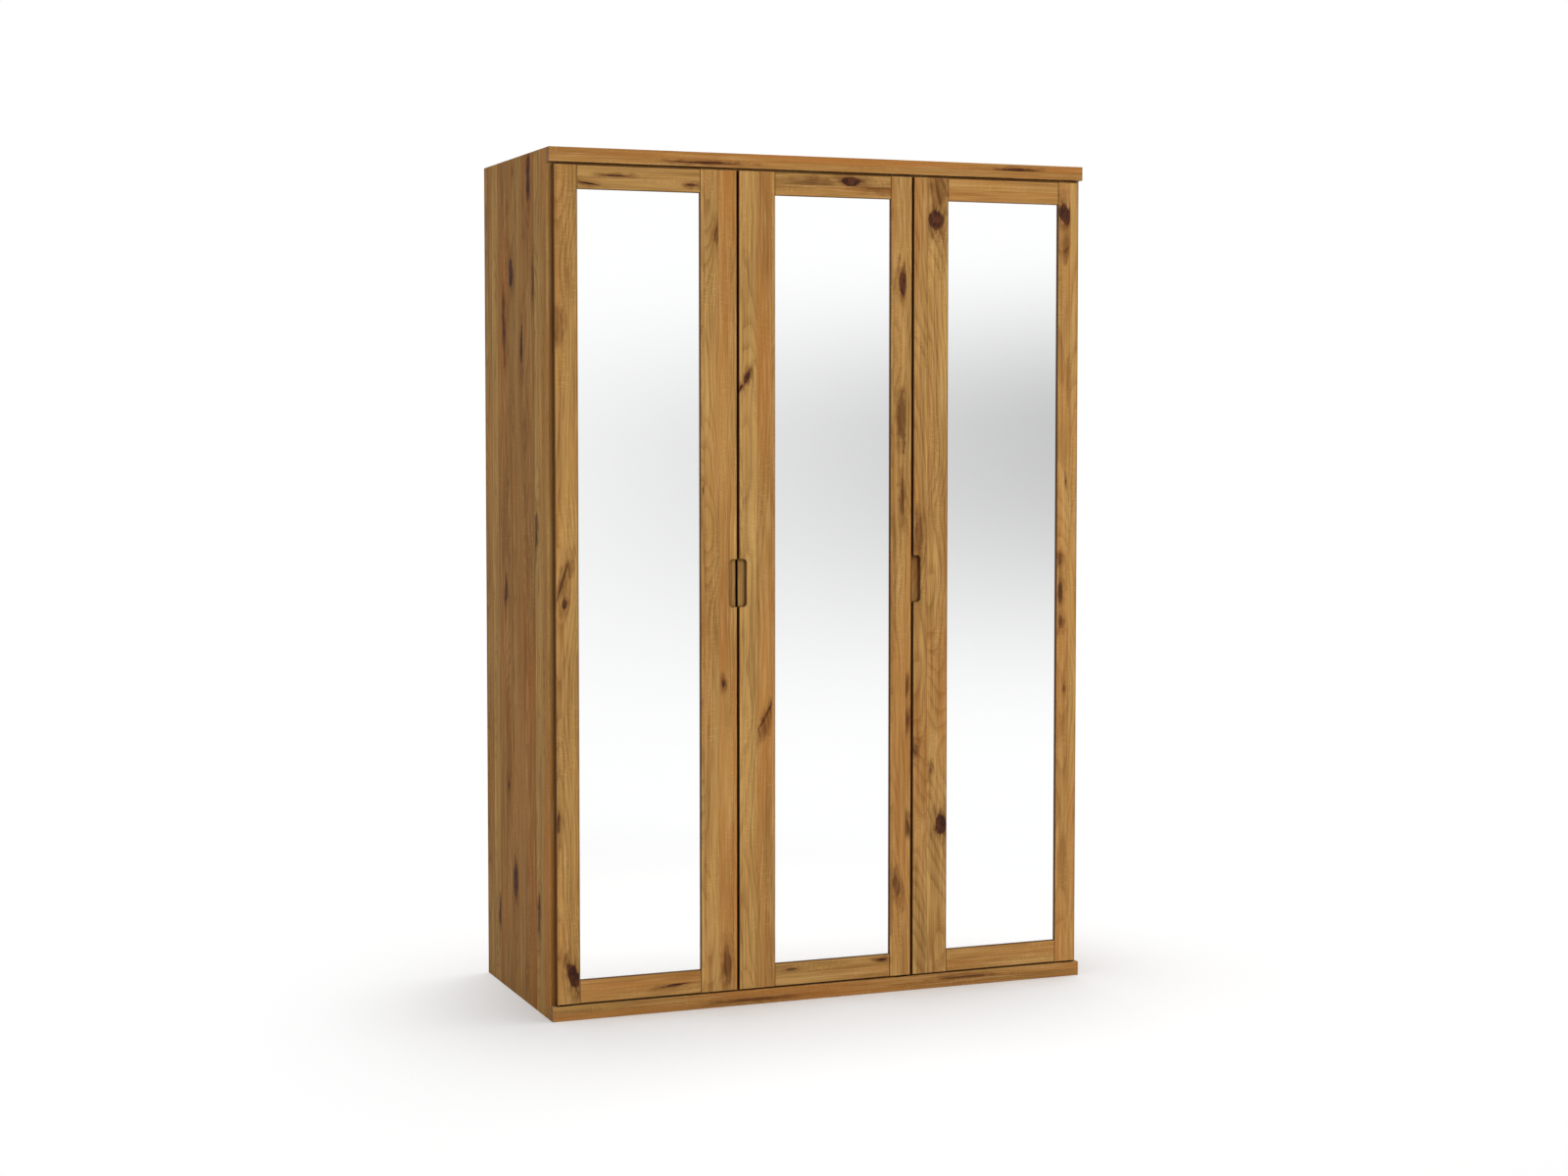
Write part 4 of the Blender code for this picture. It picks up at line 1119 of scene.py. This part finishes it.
# ---- Pivot hinges --------------------------------------------------------------------------------
# Each door turns on two browned steel pivots: a leaf with a pin let into the plinth or the cornice, and a
# leaf with the hole let into the end of the stile. Two countersunk screws hold each leaf.

pivot_steel = steel("browned_steel_pivots", srgb(52, 42, 34), srgb(84, 70, 58), ALL_WAYS)
LEAF_SCREWS = (0.018, 0.034)  # from the leaf's pivot end
LEAF_SCREW = dict(head_width=0.0056, crown=0.00025, material=pivot_steel)
for number, door in enumerate(DOORS):
    hinge_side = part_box(f"{door}_hinge_stile")
    towards_door = 1 if hinge_side[0].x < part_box(f"{door}_mirror")[0].x else -1
    for end, facing, strip in (
        ("bottom", Z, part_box("plinth_strip")[1].z),
        ("top", -Z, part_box("cornice_strip")[0].z),
    ):
        for leaf, body in (("pivot_pin", "carcase"), ("pivot_plate", door)):
            name = f"{door}_{end}_{leaf}"
            finish_node(name, pivot_steel)
            low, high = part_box(name)
            pivot_end = low.x if towards_door > 0 else high.x
            if leaf == "pivot_pin":
                z, outward = strip, facing
            else:
                z, outward = low.z if end == "bottom" else high.z, -facing
            spots = [
                (Vector((pivot_end + towards_door * along, (low.y + high.y) / 2, z)), outward)
                for along in LEAF_SCREWS
            ]
            screws(f"{name}_screws", spots, body, seed=30 + number, **LEAF_SCREW)


# ---- Catches and strikes -------------------------------------------------------------------------
# A magnetic catch in a moulded plastic case is screwed under the top panel behind each handle stile. Its
# two steel poles pull the strike plate, which two screws hold to the back of the stile.

strike_steel = steel("zinc_plated_strikes", srgb(150, 148, 142), srgb(206, 203, 196), (900, 900, 40))
POLE_SIZE = (0.022, 0.004, 0.0022)
POLE_OUT, POLES_APART, POLE_BEVEL = 0.0002, 0.0052, 0.0001
SCREW_FROM_END = 0.0055  # of a catch's case and of a strike plate
CATCH_SCREW = dict(head_width=0.0055, crown=0.0008)
STRIKE_SCREW = dict(head_width=0.0050, crown=0.0002, sink=0.0009)
for number, door in enumerate(DOORS):
    finish_node(f"{door}_catch", brown_plastic)
    low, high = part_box(f"{door}_catch")
    middle = (low + high) / 2
    shape = bmesh.new()
    for side in (-1, 1):
        at = Vector((middle.x, low.y - POLE_OUT + POLE_SIZE[1] / 2, middle.z + side * POLES_APART / 2))
        pole = Matrix.Translation(at) @ Matrix.Diagonal((*POLE_SIZE, 1))
        made = bmesh.ops.create_cube(shape, size=1, matrix=pole)
        ease(shape, {edge for vert in made["verts"] for edge in vert.link_edges}, POLE_BEVEL)
    piece_of(f"{door}_catch_poles", shape, strike_steel, "carcase")
    spots = [(Vector((x, middle.y, low.z)), -Z) for x in evenly(low.x, high.x, 2, SCREW_FROM_END)]
    screws(f"{door}_catch_screws", spots, "carcase", seed=40 + number, **CATCH_SCREW)

    name = f"{door}_strike"
    finish_node(name, strike_steel)
    low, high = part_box(name)
    z = (low.z + high.z) / 2
    spots = [(Vector((x, high.y, z)), Y) for x in evenly(low.x, high.x, 2, SCREW_FROM_END)]
    screws(f"{name}_screws", spots, door, seed=50 + number, **STRIKE_SCREW)


# ---- Door buffers --------------------------------------------------------------------------------
# Brown felt dots on the back of each door's handle stile, at its upper and lower end, touch the edges of
# the top and bottom panels, so that the door closes softly.

felt, tree, shader = shader_of("brown_felt", roughness=0.95)
place = place_on_piece(tree)
fluff = noise(place, (2200, 2200, 2200), detail=3.0, roughness=0.7)
plug(tree, mixed(fluff.rising(0.3, 0.7), srgb(70, 48, 33), srgb(118, 86, 60)), shader.inputs["Base Color"])
raise_surface(tree, shader, fluff, 0.0003, 0.9)
DOT_RADIUS, DOT_THICKNESS, DOT_BEVEL = 0.0030, 0.0014, 0.0004
DOT_UP, DOT_DOWN, DOT_FROM_SIDE = 0.0042, 0.0040, 0.030
disc = dict(radius1=DOT_RADIUS, radius2=DOT_RADIUS, depth=DOT_THICKNESS)
upright = Matrix.Rotation(pi / 2, 4, "X")
for door in DOORS:
    low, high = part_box(f"{door}_handle_stile")
    y = high.y + DOT_THICKNESS / 2 + 0.0001
    shape = bmesh.new()
    for z in (low.z + DOT_UP, high.z - DOT_DOWN):
        for x in evenly(low.x, high.x, 2, DOT_FROM_SIDE):
            place = Matrix.Translation((x, y, z)) @ upright
            made = bmesh.ops.create_cone(shape, cap_ends=True, segments=28, matrix=place, **disc)
            rims = {edge for vert in made["verts"] for edge in vert.link_edges if len(edge.link_faces) == 2
                    and any(len(face.verts) > 4 for face in edge.link_faces)}
            ease(shape, rims, DOT_BEVEL, steps=3)
    piece_of(f"{door}_felt_dots", shape, felt, door)
